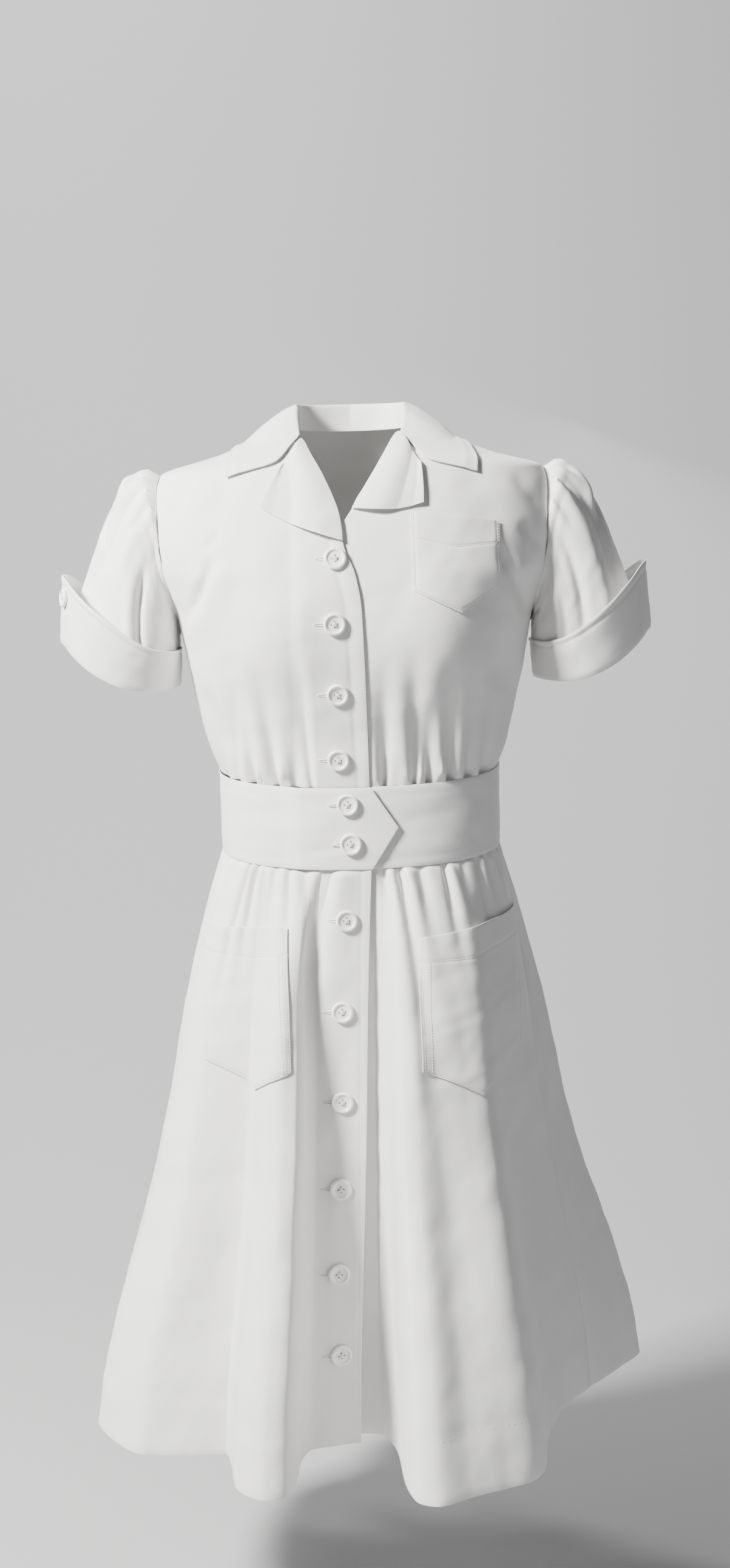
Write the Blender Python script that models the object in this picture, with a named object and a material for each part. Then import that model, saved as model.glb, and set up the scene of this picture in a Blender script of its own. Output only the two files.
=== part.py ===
"""White cotton uniform dress, buttoned down the front, held as it is worn.

Metres, +Z up, the front faces -Y and +X is the wearer's left. The origin is in the middle of the
neck, at the height of the inner ends of the shoulder seams.
Every cloth piece is a thin wall: a grid of vertices placed by a function of (u, v), then thickened.
"""

import math

import bmesh
import bpy
import numpy as np
from mathutils import Matrix, Vector

# Wall thicknesses, and the clearance kept at seams and between layers
CLOTH = 0.0015
DOUBLE_CLOTH = 0.0020
BELT_THICKNESS = 0.0030
GAP = 0.0003
LAYER_GAP = 0.0009
POCKET_GAP = 0.0014
BUTTON_GAP = 0.0009
LAP = CLOTH + LAYER_GAP

# Heights
SHOULDER_TIP_Z = -0.042
UNDERARM_Z = -0.172
WAIST_Z = -0.317
WAIST_TILT = 0.009
BELT_HEIGHT = 0.075
HEM_Z = -0.940

# Worn form of the bodice: one horizontal section per row
TORSO = (
    # z, half width, depth to the front, depth to the back, squareness
    (0.000, 0.052, 0.022, 0.050, 2.0),
    (-0.014, 0.094, 0.050, 0.070, 2.0),
    (-0.028, 0.136, 0.070, 0.082, 2.1),
    (-0.042, 0.178, 0.083, 0.090, 2.2),
    (-0.070, 0.188, 0.096, 0.098, 2.4),
    (-0.100, 0.191, 0.106, 0.103, 2.4),
    (-0.130, 0.186, 0.113, 0.106, 2.4),
    (-0.150, 0.177, 0.116, 0.107, 2.3),
    (-0.172, 0.166, 0.117, 0.106, 2.3),
    (-0.200, 0.160, 0.116, 0.103, 2.3),
    (-0.250, 0.151, 0.108, 0.095, 2.3),
    (-0.290, 0.142, 0.100, 0.089, 2.3),
    (-0.325, 0.1315, 0.096, 0.086, 2.3),
    (-0.410, 0.1315, 0.096, 0.086, 2.3),
)
BUST_X, BUST_Z = 0.078, -0.190
BUST_RISE, BUST_WIDTH, BUST_HEIGHT = 0.011, 0.048, 0.058
ARMHOLE_TURN = 23.0
# Share of a front's outer edge that is side seam; the rest is armhole
SIDE_SHARE = 0.45
# Share of the back's top edge that is one shoulder seam
SHOULDER_SHARE = 0.36

# Front edges and necklines of the two bodice fronts, from the waist up to the shoulder seam
RIGHT_FRONT_EDGE = (
    # share of the way up, x, z
    (0.00, 0.009, -0.325),
    (0.22, 0.008, -0.240),
    (0.40, 0.006, -0.166),
    (0.48, 0.001, -0.135),
    (0.54, -0.008, -0.112),
    (0.63, -0.013, -0.082),
    (0.74, -0.025, -0.051),
    (0.84, -0.038, -0.027),
    (0.92, -0.046, -0.010),
    (1.00, -0.052, 0.000),
)
LEFT_FRONT_EDGE = (
    # share of the way up, x, z
    (0.00, -0.038, -0.325),
    (0.25, -0.038, -0.230),
    (0.40, -0.036, -0.160),
    (0.48, -0.028, -0.122),
    (0.56, -0.011, -0.094),
    (0.65, 0.012, -0.060),
    (0.76, 0.027, -0.036),
    (0.86, 0.040, -0.014),
    (1.00, 0.052, 0.000),
)

# Tucks that take the bodice's fullness into the belt
WAIST_TUCKS = (
    # x at the waist, x at the top, reach above the waist, depth
    (-0.098, -0.114, 0.130, 0.0075),
    (-0.077, -0.082, 0.110, 0.0070),
    (-0.040, -0.046, 0.100, 0.0030),
    (0.034, 0.022, 0.115, 0.0040),
    (0.059, 0.056, 0.125, 0.0070),
    (0.084, 0.082, 0.115, 0.0065),
    (0.106, 0.114, 0.100, 0.0045),
)
BACK_TUCKS = (
    # x at the waist, x at the top, reach above the waist, depth
    (-0.086, -0.100, 0.105, 0.0065),
    (-0.060, -0.066, 0.125, 0.0075),
    (0.056, 0.062, 0.120, 0.0075),
    (0.083, 0.096, 0.100, 0.0060),
)
TUCK_WIDTH = 0.0070

# Skirt: guide lines from the belt to the hem, which hang as folds
FLARE = (
    # share of the way down, share of the flare
    (0.00, 0.00),
    (0.09, 0.12),
    (0.25, 0.29),
    (0.45, 0.455),
    (0.60, 0.61),
    (0.75, 0.79),
    (0.90, 0.94),
    (1.00, 1.00),
)
RIGHT_SKIRT = (
    # share of the way round, angle at the belt, hem x, hem y
    (0.00, 2.6, -0.015, -0.115),
    (0.10, -6.0, -0.038, -0.121),
    (0.20, -13.5, -0.060, -0.127),
    (0.27, -16.0, -0.070, -0.150),
    (0.34, -18.0, -0.073, -0.185),
    (0.41, -20.5, -0.084, -0.214),
    (0.46, -23.0, -0.099, -0.217),
    (0.54, -29.0, -0.126, -0.194),
    (0.61, -35.0, -0.133, -0.152),
    (0.66, -40.0, -0.140, -0.131),
    (0.72, -46.0, -0.165, -0.132),
    (0.80, -55.0, -0.214, -0.128),
    (0.89, -67.0, -0.267, -0.058),
    (1.00, -90.0, -0.266, 0.000),
)
LEFT_SKIRT = (
    # share of the way round, angle at the belt, hem x, hem y
    (0.00, -14.0, -0.052, -0.103),
    (0.10, -4.0, -0.020, -0.098),
    (0.18, 2.5, 0.004, -0.100),
    (0.25, 5.5, 0.020, -0.136),
    (0.32, 8.0, 0.026, -0.196),
    (0.38, 10.5, 0.038, -0.230),
    (0.43, 13.5, 0.053, -0.235),
    (0.51, 21.0, 0.083, -0.220),
    (0.59, 28.5, 0.112, -0.208),
    (0.68, 36.0, 0.139, -0.195),
    (0.73, 41.0, 0.152, -0.172),
    (0.80, 48.5, 0.158, -0.125),
    (0.89, 64.0, 0.180, -0.058),
    (1.00, 90.0, 0.213, -0.012),
)
BACK_SKIRT = (
    # share of the way round, angle at the belt, hem x, hem y
    (0.00, 90.0, 0.213, -0.012),
    (0.06, 97.0, 0.246, 0.028),
    (0.12, 105.0, 0.272, 0.066),
    (0.19, 113.0, 0.236, 0.104),
    (0.25, 122.0, 0.170, 0.112),
    (0.33, 135.0, 0.146, 0.172),
    (0.40, 147.0, 0.088, 0.160),
    (0.48, 161.0, 0.064, 0.222),
    (0.55, 174.0, 0.008, 0.174),
    (0.63, 190.0, -0.052, 0.226),
    (0.70, 203.0, -0.082, 0.166),
    (0.78, 219.0, -0.152, 0.184),
    (0.85, 235.0, -0.172, 0.116),
    (0.92, 252.0, -0.240, 0.088),
    (1.00, 270.0, -0.266, 0.000),
)
GATHER_DEPTH = 0.0022
GATHER_REACH = 0.060
GATHER_PITCH = 9.5
# Share of a panel's width left open at a side seam
SKIRT_SEAM = 0.0012

# Sleeves and cuffs, given for the wearer's left
SLEEVE_HEM_X, SLEEVE_HEM_Z = 0.2210, -0.2150
SLEEVE_HEM_HALF_WIDTH, SLEEVE_HEM_HALF_DEPTH = 0.0520, 0.056
SLEEVE_HEM_RISE = 0.022
SLEEVE_HEM_SAG = 0.017
SLEEVE_PUFF = 0.026
CAP_GATHERS = 5
CAP_GATHER_DEPTH = 0.0020
CUFF_LOW, CUFF_HIGH = 0.036, 0.066
CUFF_FLARE = 0.018

# Collar and lapels
FOLD_RING = (
    # share of the half round from the back, x, y, z of the fold
    (0.00, 0.000, 0.052, 0.028),
    (0.30, 0.034, 0.041, 0.027),
    (0.55, 0.049, 0.012, 0.024),
    (0.75, 0.050, -0.010, 0.015),
    (0.90, 0.048, -0.030, 0.000),
    (1.00, 0.0465, -0.041, -0.0085),
)
COLLAR_EDGE = (
    # share of the half round from the back, x, y, z of the outer edge
    (0.00, 0.000, 0.088, -0.034),
    (0.30, 0.060, 0.072, -0.030),
    (0.55, 0.097, 0.020, -0.014),
    (0.75, 0.108, -0.030, -0.026),
    (0.90, 0.112, -0.060, -0.040),
    (1.00, 0.112, -0.072, -0.048),
)
NOTCH_X, NOTCH_Z = 0.062, -0.041
GORGE_GAP = 0.0012
LAPEL_TIPS = {"right": (-0.082, -0.075), "left": (0.063, -0.075)}
LAPEL_FOOT = {"right": 0.555, "left": 0.600}
LAPEL_HEAD = 0.895
LAPEL_ROLL = 0.003
# Shares of the collar's height that are the stand, and of its fall from the fold to the notch
STAND_SHARE = 0.25
NOTCH_SHARE = 0.45
COLLAR_RISE = 0.004

# Belt
BELT_POINT_X = 0.034
BELT_POINT_START = 0.010
BELT_UNDERLAP_X = -0.036
BELT_SEAM_ANGLE = 0.12

# Pockets: width and depth with the point, centres on the panels
BREAST_POCKET = (
    # x of the left side, x of the right side, z of the top, z at the corners, z of the point, slant
    0.051, 0.130, -0.087, -0.151, -0.171, -0.005)
HIP_POCKETS = {
    "right": (-0.150, -0.068, -0.455, -0.577, -0.601, 0.003),
    "left": (0.049, 0.146, -0.458, -0.578, -0.606, 0.005),
}

# Buttons
BUTTON_RADIUS = 0.0100
SMALL_BUTTON_RADIUS = 0.0085
BUTTON_THICKNESS = 0.0032
BUTTON_PROFILE = (
    # share of the radius, share of the thickness
    (0.00, 0.45), (0.64, 0.45), (0.76, 1.00), (1.00, 0.70), (0.92, 0.00), (0.00, 0.00))
BODICE_BUTTONS = ((-0.016, -0.122), (-0.018, -0.178), (-0.017, -0.240), (-0.018, -0.300))
BELT_BUTTONS = ((-0.011, -0.341), (-0.009, -0.377))
CUFF_BUTTON_TURN, CUFF_BUTTON_UP = 0.055, 0.72
SKIRT_BUTTONS = (
    (-0.015, -0.447), (-0.021, -0.531), (-0.023, -0.615),
    (-0.027, -0.696), (-0.031, -0.776), (-0.031, -0.853))


def clear_scene():
    for item in list(bpy.data.objects):
        bpy.data.objects.remove(item, do_unlink=True)


def make_material(name, colour, roughness):
    material = bpy.data.materials.new(name)
    material.use_nodes = True
    shader = material.node_tree.nodes["Principled BSDF"]
    shader.inputs["Base Color"].default_value = (*colour, 1.0)
    shader.inputs["Roughness"].default_value = roughness
    shader.inputs["Metallic"].default_value = 0.0
    material.diffuse_color = (*colour, 1.0)
    return material


def smooth_curve(rows):
    """A cubic through rows of (parameter, value, ...) that never overshoots a row."""
    rows = sorted(rows)
    knots = np.array([row[0] for row in rows])
    values = np.array([row[1:] for row in rows], dtype=float)
    steps = np.diff(knots)[:, None]
    slopes = np.diff(values, axis=0) / steps
    tangents = np.zeros_like(values)
    tangents[0], tangents[-1] = slopes[0], slopes[-1]
    same_way = slopes[:-1] * slopes[1:] > 0.0
    total = np.where(same_way, slopes[:-1] + slopes[1:], 1.0)
    tangents[1:-1] = np.where(same_way, 2.0 * slopes[:-1] * slopes[1:] / total, 0.0)

    def value_at(parameter):
        parameter = min(max(parameter, knots[0]), knots[-1])
        i = min(int(np.searchsorted(knots, parameter, side="right")) - 1, len(steps) - 1)
        h = steps[i, 0]
        t = (parameter - knots[i]) / h
        return (values[i] * (1 + 2 * t) * (1 - t) ** 2 + tangents[i] * h * t * (1 - t) ** 2
                + values[i + 1] * t * t * (3 - 2 * t) - tangents[i + 1] * h * t * t * (1 - t))

    return value_at


def soft_step(value, start, end):
    t = min(max((value - start) / (end - start), 0.0), 1.0)
    return t * t * (3.0 - 2.0 * t)


torso_section = smooth_curve(TORSO)
flare_share = smooth_curve(FLARE)


def waist_height(angle):
    """Height of the belt's top edge at an angle in degrees from the front towards +X."""
    return WAIST_Z - WAIST_TILT * math.cos(math.radians(angle))


def torso_ring(angle, z):
    """Point of the plain torso form, before the bust and the tucks."""
    half_width, front, back, squareness = torso_section(z)
    sine, cosine = math.sin(math.radians(angle)), math.cos(math.radians(angle))
    depth = front if cosine > 0.0 else back
    power = 2.0 / squareness
    x = half_width * math.copysign(abs(sine) ** power, sine)
    y = -depth * math.copysign(abs(cosine) ** power, cosine)
    return Vector((x, y, z))


def torso_normal(angle, z):
    """Outward normal of the torso form."""
    round_step = torso_ring(angle + 1.0, z) - torso_ring(angle - 1.0, z)
    low, high = z - 0.003, min(z + 0.003, -0.0001)
    up_step = torso_ring(angle, high) - torso_ring(angle, low)
    return round_step.cross(up_step).normalized()


def tuck_depth(tucks, x, z):
    """How far the cloth sinks between the fulness at a tuck."""
    sink = 0.0
    for foot_x, head_x, reach, depth in tucks:
        rise = (z - WAIST_Z + WAIST_TILT) / reach
        if rise > 1.0:
            continue
        centre = foot_x + (head_x - foot_x) * max(rise, 0.0)
        width = TUCK_WIDTH * (1.0 + 1.3 * max(rise, 0.0))
        sink += depth * (1.0 - max(rise, 0.0)) ** 1.3 * math.exp(-((x - centre) / width) ** 2)
    return sink


def bodice_point(angle, z, out=0.0):
    """Point of the bodice's cloth, moved out along its normal."""
    point = torso_ring(angle, z)
    normal = torso_normal(angle, z)
    if math.cos(math.radians(angle)) > 0.0:
        across = (abs(point.x) - BUST_X) / BUST_WIDTH
        height = (z - BUST_Z) / BUST_HEIGHT
        out += BUST_RISE * math.exp(-across ** 2 - height ** 2)
        out -= tuck_depth(WAIST_TUCKS, point.x, z)
    else:
        out -= tuck_depth(BACK_TUCKS, point.x, z)
    return point + normal * out


def front_angle(x, z):
    """Angle at which the torso form's front has this x."""
    half_width, _, _, squareness = torso_section(z)
    share = min(abs(x) / half_width, 1.0) ** (squareness / 2.0)
    return math.copysign(math.degrees(math.asin(min(share, 1.0))), x)


def front_point(x, z, out=0.0):
    """Point on the bodice's front at (x, z)."""
    return bodice_point(front_angle(x, z), z, out)


def front_lap(x, z):
    """How far the right front stands out where it laps over the left."""
    return LAP * soft_step(x, -0.058, -0.044) * (1.0 - soft_step(z, -0.092, -0.070))


def armhole(turn):
    """Angle from the side and height of the armhole's front half, turn 0 at the shoulder to 1."""
    half_height = 0.5 * (SHOULDER_TIP_Z - UNDERARM_Z)
    z = UNDERARM_Z + half_height * (1.0 + math.cos(math.pi * turn))
    return 90.0 - ARMHOLE_TURN * math.sin(math.pi * turn), z


def cloth_wall(name, across, along, place, thickness, material, closed=False):
    """A grid of cloth with each vertex where place(u, v) says, thickened evenly to both sides."""
    mesh = bpy.data.meshes.new(name)
    work = bmesh.new()
    bmesh.ops.create_grid(work, x_segments=across, y_segments=along, size=0.5)
    for vertex in work.verts:
        vertex.co = place(vertex.co.x + 0.5, vertex.co.y + 0.5)
    if closed:
        bmesh.ops.remove_doubles(work, verts=work.verts, dist=0.00001)
    work.to_mesh(mesh)
    work.free()
    mesh.shade_smooth()
    mesh.materials.append(material)
    piece = bpy.data.objects.new(name, mesh)
    bpy.context.scene.collection.objects.link(piece)
    wall = piece.modifiers.new("Wall", "SOLIDIFY")
    wall.thickness = thickness
    wall.offset = 0.0
    wall.use_even_offset = True
    wall.thickness_clamp = 0.0
    return piece


def patch(left, right, low, high):
    """Coons patch of four (angle, z) edges: left and right run up, low and high run across."""
    corner_00, corner_10 = np.array(low(0.0)), np.array(low(1.0))
    corner_01, corner_11 = np.array(high(0.0)), np.array(high(1.0))

    def at(u, v):
        ruled = (1 - u) * np.array(left(v)) + u * np.array(right(v))
        ruled = ruled + (1 - v) * np.array(low(u)) + v * np.array(high(u))
        ruled -= (1 - u) * (1 - v) * corner_00 + u * (1 - v) * corner_10
        ruled -= (1 - u) * v * corner_01 + u * v * corner_11
        return ruled

    return at


def side_edge(side):
    """Side seam and armhole of a front, from the waist up, as (angle, z). side is +1 or -1."""
    def at(v):
        if v < SIDE_SHARE:
            low = waist_height(90.0) + GAP
            return side * 90.0, low + (UNDERARM_Z - low) * v / SIDE_SHARE
        angle, z = armhole((1.0 - v) / (1.0 - SIDE_SHARE))
        return side * angle, z
    return at


def front_edge(rows):
    curve = smooth_curve(rows)
    foot_x = rows[0][1]
    foot_angle = front_angle(foot_x, -0.325)
    foot_z = waist_height(foot_angle) + GAP

    def at(v):
        x, z = curve(v)
        z = foot_z if v == 0.0 else z
        return front_angle(x, z), z
    return at


def make_bodice(material):
    def front(name, side, rows, lapped):
        edge = front_edge(rows)
        outer = side_edge(side)
        foot_angle = edge(0.0)[0]

        def waist(u):
            angle = foot_angle + (side * 90.0 - foot_angle) * u
            return angle, waist_height(angle) + GAP

        def shoulder(u):
            return side * 90.0, SHOULDER_TIP_Z * u
        surface = patch(edge, outer, waist, shoulder)

        def place(u, v):
            angle, z = surface(u, v)
            lap = 0.0
            if lapped:
                lap = front_lap(torso_ring(angle, z).x, z)
            inset = GAP * 0.6 if v == 1.0 else 0.0
            point = bodice_point(angle, z, lap)
            return point + Vector((0.0, -inset, 0.0))
        if side > 0:
            return cloth_wall(name, 22, 11, place, CLOTH, material)
        return cloth_wall(name, 22, 11, lambda u, v: place(1.0 - u, v), CLOTH, material)

    front("bodice_front_right", -1, RIGHT_FRONT_EDGE, True)
    front("bodice_front_left", 1, LEFT_FRONT_EDGE, False)

    left, right = side_edge(1), side_edge(-1)

    def mirrored(edge, v):
        angle, z = edge(v)
        return 180.0 - angle, z

    def shoulders(u):
        if u < SHOULDER_SHARE:
            return 90.0, SHOULDER_TIP_Z * (1.0 - u / SHOULDER_SHARE)
        if u > 1.0 - SHOULDER_SHARE:
            return 270.0, SHOULDER_TIP_Z * (u - 1.0 + SHOULDER_SHARE) / SHOULDER_SHARE
        return 90.0 + 180.0 * (u - SHOULDER_SHARE) / (1.0 - 2.0 * SHOULDER_SHARE), 0.0

    def waist(u):
        angle = 90.0 + 180.0 * u
        return angle, waist_height(angle) + GAP
    back = patch(lambda v: mirrored(left, v), lambda v: mirrored(right, v), waist, shoulders)

    def place_back(u, v):
        angle, z = back(u, v)
        point = bodice_point(angle, z)
        seam = GAP * (u < 0.001 or u > 0.999 or v > 0.999)
        return point + Vector((0.0, seam, 0.0))
    cloth_wall("bodice_back", 28, 10, place_back, CLOTH, material)


def sleeve_point(side, turn, down):
    """Point of a sleeve: turn 0 at the top, 0.25 at the front, 0.5 under the arm; down 0 to 1."""
    if turn <= 0.5:
        angle, z = armhole(2.0 * turn)
    else:
        angle, z = armhole(2.0 * (1.0 - turn))
        angle = 180.0 - angle
    normal = torso_normal(angle, z)
    start = torso_ring(angle, z)
    start += normal * CLOTH * 0.5 * abs(normal.x)
    start.x += GAP + CLOTH * abs(normal.x)
    cosine, sine = math.cos(2.0 * math.pi * turn), math.sin(2.0 * math.pi * turn)
    end = sleeve_hem(cosine, sine)
    point = start.lerp(end, down)
    top = max(cosine, 0.0)
    swell = SLEEVE_PUFF * top ** 1.2 * math.sin(math.pi * min(down, 1.0) ** 0.42)
    gathers = math.cos(2.0 * math.pi * CAP_GATHERS * turn * 4.0) * soft_step(cosine, 0.3, 0.8)
    swell += CAP_GATHER_DEPTH * gathers * math.exp(-(down / 0.2) ** 2) * soft_step(down, 0.0, 0.06)
    swell += 0.006 * (1.0 - top) * math.sin(math.pi * down) * abs(sine)
    direction = Vector((0.86, 0.0, 0.5)) * top + Vector((0.25 * cosine, -sine, 0.0)) * (1.0 - top)
    point += direction.normalized() * swell
    return Vector((side * point.x, point.y, point.z))


def sleeve_hem(cosine, sine):
    """Fold at the foot of a sleeve. cosine is 1 at the outer side, sine is 1 at the front."""
    x = SLEEVE_HEM_X + SLEEVE_HEM_HALF_WIDTH * cosine
    y = -SLEEVE_HEM_HALF_DEPTH * sine
    z = SLEEVE_HEM_Z + SLEEVE_HEM_RISE * cosine - SLEEVE_HEM_SAG * sine * sine
    return Vector((x, y, z))


def cuff_point(side, turn, up):
    """Point of a turned-up cuff, from the fold up to its peaked edge, off the sleeve's own points."""
    cosine, sine = math.cos(2.0 * math.pi * turn), math.sin(2.0 * math.pi * turn)
    peak = (0.5 + 0.5 * cosine) ** 1.5
    height = CUFF_LOW + (CUFF_HIGH - CUFF_LOW) * peak
    length = (sleeve_point(1.0, turn, 0.0) - sleeve_point(1.0, turn, 1.0)).length
    point = sleeve_point(1.0, turn, 1.0 - height * up / length)
    stand_off = 0.5 * (CLOTH + DOUBLE_CLOTH) + LAYER_GAP + CUFF_FLARE * peak * up
    point += Vector((cosine, -sine, 0.0)) * stand_off
    return Vector((side * point.x, point.y, point.z))


def make_sleeves(material):
    for label, side in (("right", -1.0), ("left", 1.0)):
        def sleeve(u, v, side=side):
            turn = u if side < 0.0 else 1.0 - u
            return sleeve_point(side, turn % 1.0, 1.0 - v)

        def cuff(u, v, side=side):
            turn = u if side < 0.0 else 1.0 - u
            return cuff_point(side, turn % 1.0, v)
        cloth_wall("sleeve_" + label, 24, 7, sleeve, CLOTH, material, closed=True)
        cloth_wall("cuff_" + label, 24, 3, cuff, DOUBLE_CLOTH, material, closed=True)


def belt_point(angle, share, out):
    z = waist_height(angle) - BELT_HEIGHT * share
    return torso_ring(angle, z) + torso_normal(angle, z) * out


def make_belt(material):
    step_out = BELT_THICKNESS + 2.0 * GAP
    seam = BELT_SEAM_ANGLE

    def front_right(u, v):
        share = 1.0 - v
        edge_x = BELT_POINT_START + (BELT_POINT_X - BELT_POINT_START) * (1.0 - abs(2.0 * share - 1.0))
        edge = front_angle(edge_x, -0.36)
        angle = -90.0 + seam + (edge + 90.0 - seam) * u
        x = torso_ring(angle, -0.36).x
        return belt_point(angle, share, step_out * soft_step(x, -0.074, -0.052))

    def front_left(u, v):
        edge = front_angle(BELT_UNDERLAP_X, -0.36)
        return belt_point(edge + (90.0 - seam - edge) * u, 1.0 - v, 0.0)

    def back(u, v):
        return belt_point(90.0 + seam + (180.0 - 2.0 * seam) * u, 1.0 - v, 0.0)
    cloth_wall("belt_front_right", 18, 4, front_right, BELT_THICKNESS, material)
    cloth_wall("belt_front_left", 14, 2, front_left, BELT_THICKNESS, material)
    cloth_wall("belt_back", 20, 2, back, BELT_THICKNESS, material)


def skirt_surface(rows, lap):
    """Function (t, s) to a point: t goes round as the rows do, s from the belt to the hem."""
    guides = smooth_curve(rows)

    def at(t, s):
        angle, hem_x, hem_y = guides(t)
        top_z = waist_height(angle) - BELT_HEIGHT - GAP
        top = torso_ring(angle, top_z)
        if lap:
            top += torso_normal(angle, top_z) * LAP * soft_step(top.x, -0.058, -0.040)
        z = top_z + (HEM_Z - top_z) * s
        flare = flare_share(s)[0]
        x = top.x + (hem_x - top.x) * flare
        y = top.y + (hem_y - top.y) * flare
        point = Vector((x, y, z))
        down = (top_z - z) / GATHER_REACH
        if down < 1.0 and abs(angle) > 28.0:
            wave = math.sin(math.radians(angle) * 360.0 / GATHER_PITCH)
            depth = GATHER_DEPTH * wave * soft_step(down, 0.0, 0.15) * (1.0 - down) ** 1.2
            point += torso_normal(angle, top_z) * depth
        return point
    return at


def make_skirt(material):
    right = skirt_surface(RIGHT_SKIRT, True)
    left = skirt_surface(LEFT_SKIRT, False)
    back = skirt_surface(BACK_SKIRT, False)
    seam = SKIRT_SEAM
    cloth_wall("skirt_front_right", 34, 8, lambda u, v: right((1.0 - u) * (1.0 - seam), (1.0 - v) ** 1.6),
               CLOTH, material)
    cloth_wall("skirt_front_left", 34, 8, lambda u, v: left(u * (1.0 - seam), (1.0 - v) ** 1.6),
               CLOTH, material)
    cloth_wall("skirt_back", 48, 8, lambda u, v: back(seam + u * (1.0 - 2.0 * seam), (1.0 - v) ** 1.6),
               CLOTH, material)
    return right, left


def find_on_skirt(surface, x, z):
    """(t, s) of the skirt point at this x and z, by halving t."""
    low, high = 0.0, 1.0
    start, end = surface(low, 0.3).x, surface(high, 0.3).x
    for _ in range(40):
        t = 0.5 * (low + high)
        top_z = surface(t, 0.0).z
        s = (top_z - z) / (top_z - HEM_Z)
        if (surface(t, s).x < x) == (end > start):
            low = t
        else:
            high = t
    return t, s


def over_skirt(surface, t, z, out):
    """Point and normal over the skirt on guide t at height z, moved out along the normal."""
    top_z = surface(t, 0.0).z
    s = (top_z - z) / (top_z - HEM_Z)
    step = 0.006
    aside = surface(min(t + step, 1.0), s) - surface(max(t - step, 0.0), s)
    down = surface(t, min(s + step, 1.0)) - surface(t, max(s - step, 0.0))
    normal = aside.cross(down).normalized()
    if normal.y > 0.0:
        normal = -normal
    return surface(t, s) + normal * out, normal


def skirt_point(surface, x, z, out):
    """Point and normal over the skirt at (x, z)."""
    t, _ = find_on_skirt(surface, x, z)
    return over_skirt(surface, t, z, out)


def pocket_shape(sizes):
    """Function (u, v) to (x, z) of a pocket with a pointed foot."""
    left, right, top, corner, point, slant = sizes

    def at(u, v):
        head = top + slant * (u - 0.5) * 2.0
        foot = corner + (point - corner) * (1.0 - abs(2.0 * u - 1.0))
        return left + (right - left) * u, foot + (head - foot) * v
    return at


def make_pockets(material, right_skirt, left_skirt):
    out = CLOTH + POCKET_GAP
    breast = pocket_shape(BREAST_POCKET)
    cloth_wall("breast_pocket", 8, 6,
               lambda u, v: front_point(*breast(u, v), CLOTH + LAYER_GAP), CLOTH, material)
    for label, surface in (("right", right_skirt), ("left", left_skirt)):
        shape = pocket_shape(HIP_POCKETS[label])

        def place(u, v, shape=shape, surface=surface):
            (start_x, _), (end_x, _), (_, z) = shape(0.0, v), shape(1.0, v), shape(u, v)
            start, _ = find_on_skirt(surface, start_x, z)
            end, _ = find_on_skirt(surface, end_x, z)
            return over_skirt(surface, start + (end - start) * u, z, out)[0]
        cloth_wall("hip_pocket_" + label, 12, 5, place, CLOTH, material)


def make_lapels(material):
    out = 0.5 * (CLOTH + DOUBLE_CLOTH) + LAYER_GAP
    for label, side, rows in (("right", -1.0, RIGHT_FRONT_EDGE), ("left", 1.0, LEFT_FRONT_EDGE)):
        fold = smooth_curve(rows)
        tip = LAPEL_TIPS[label]
        foot = LAPEL_FOOT[label]
        notch = np.array((side * NOTCH_X, NOTCH_Z))

        def place(u, v, fold=fold, tip=np.array(tip), foot=foot, notch=notch, side=side):
            roll = fold(foot + (LAPEL_HEAD - foot) * v)
            start, end = fold(foot), fold(LAPEL_HEAD)
            outer = tip + (notch - tip) * v
            low = start + (tip - start) * u
            low = low + np.array((0.0, -0.004 * math.sin(math.pi * u)))
            high = end + (notch - end) * u
            spot = (1 - u) * roll + u * outer + (1 - v) * low + v * high
            spot -= (1 - u) * (1 - v) * start + u * (1 - v) * tip
            spot -= (1 - u) * v * end + u * v * notch
            rise = LAPEL_ROLL * math.sin(math.pi * min(u * 1.6, 1.0))
            lap = front_lap(spot[0], spot[1]) if side < 0.0 else 0.0
            return front_point(spot[0], min(spot[1], -0.0005), out + rise + lap)
        if side > 0:
            cloth_wall("lapel_" + label, 7, 8, place, DOUBLE_CLOTH, material)
        else:
            cloth_wall("lapel_" + label, 7, 8, lambda u, v, place=place: place(1.0 - u, v),
                       DOUBLE_CLOTH, material)


def lift_off_bodice(point, out):
    """The point, moved out where it lies lower than this over the bodice."""
    z = min(point.z, -0.001)
    half_width, front, back, squareness = torso_section(z)
    depth = front if point.y < 0.0 else back
    across = (abs(point.x) / half_width) ** (squareness / 2.0)
    fore = (abs(point.y) / depth) ** (squareness / 2.0)
    angle = math.degrees(math.atan2(across, fore))
    angle = math.copysign(angle if point.y < 0.0 else 180.0 - angle, point.x)
    base = bodice_point(angle, z)
    normal = torso_normal(angle, z)
    height = (point - base).dot(normal)
    return point + normal * max(out - height, 0.0)


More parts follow.
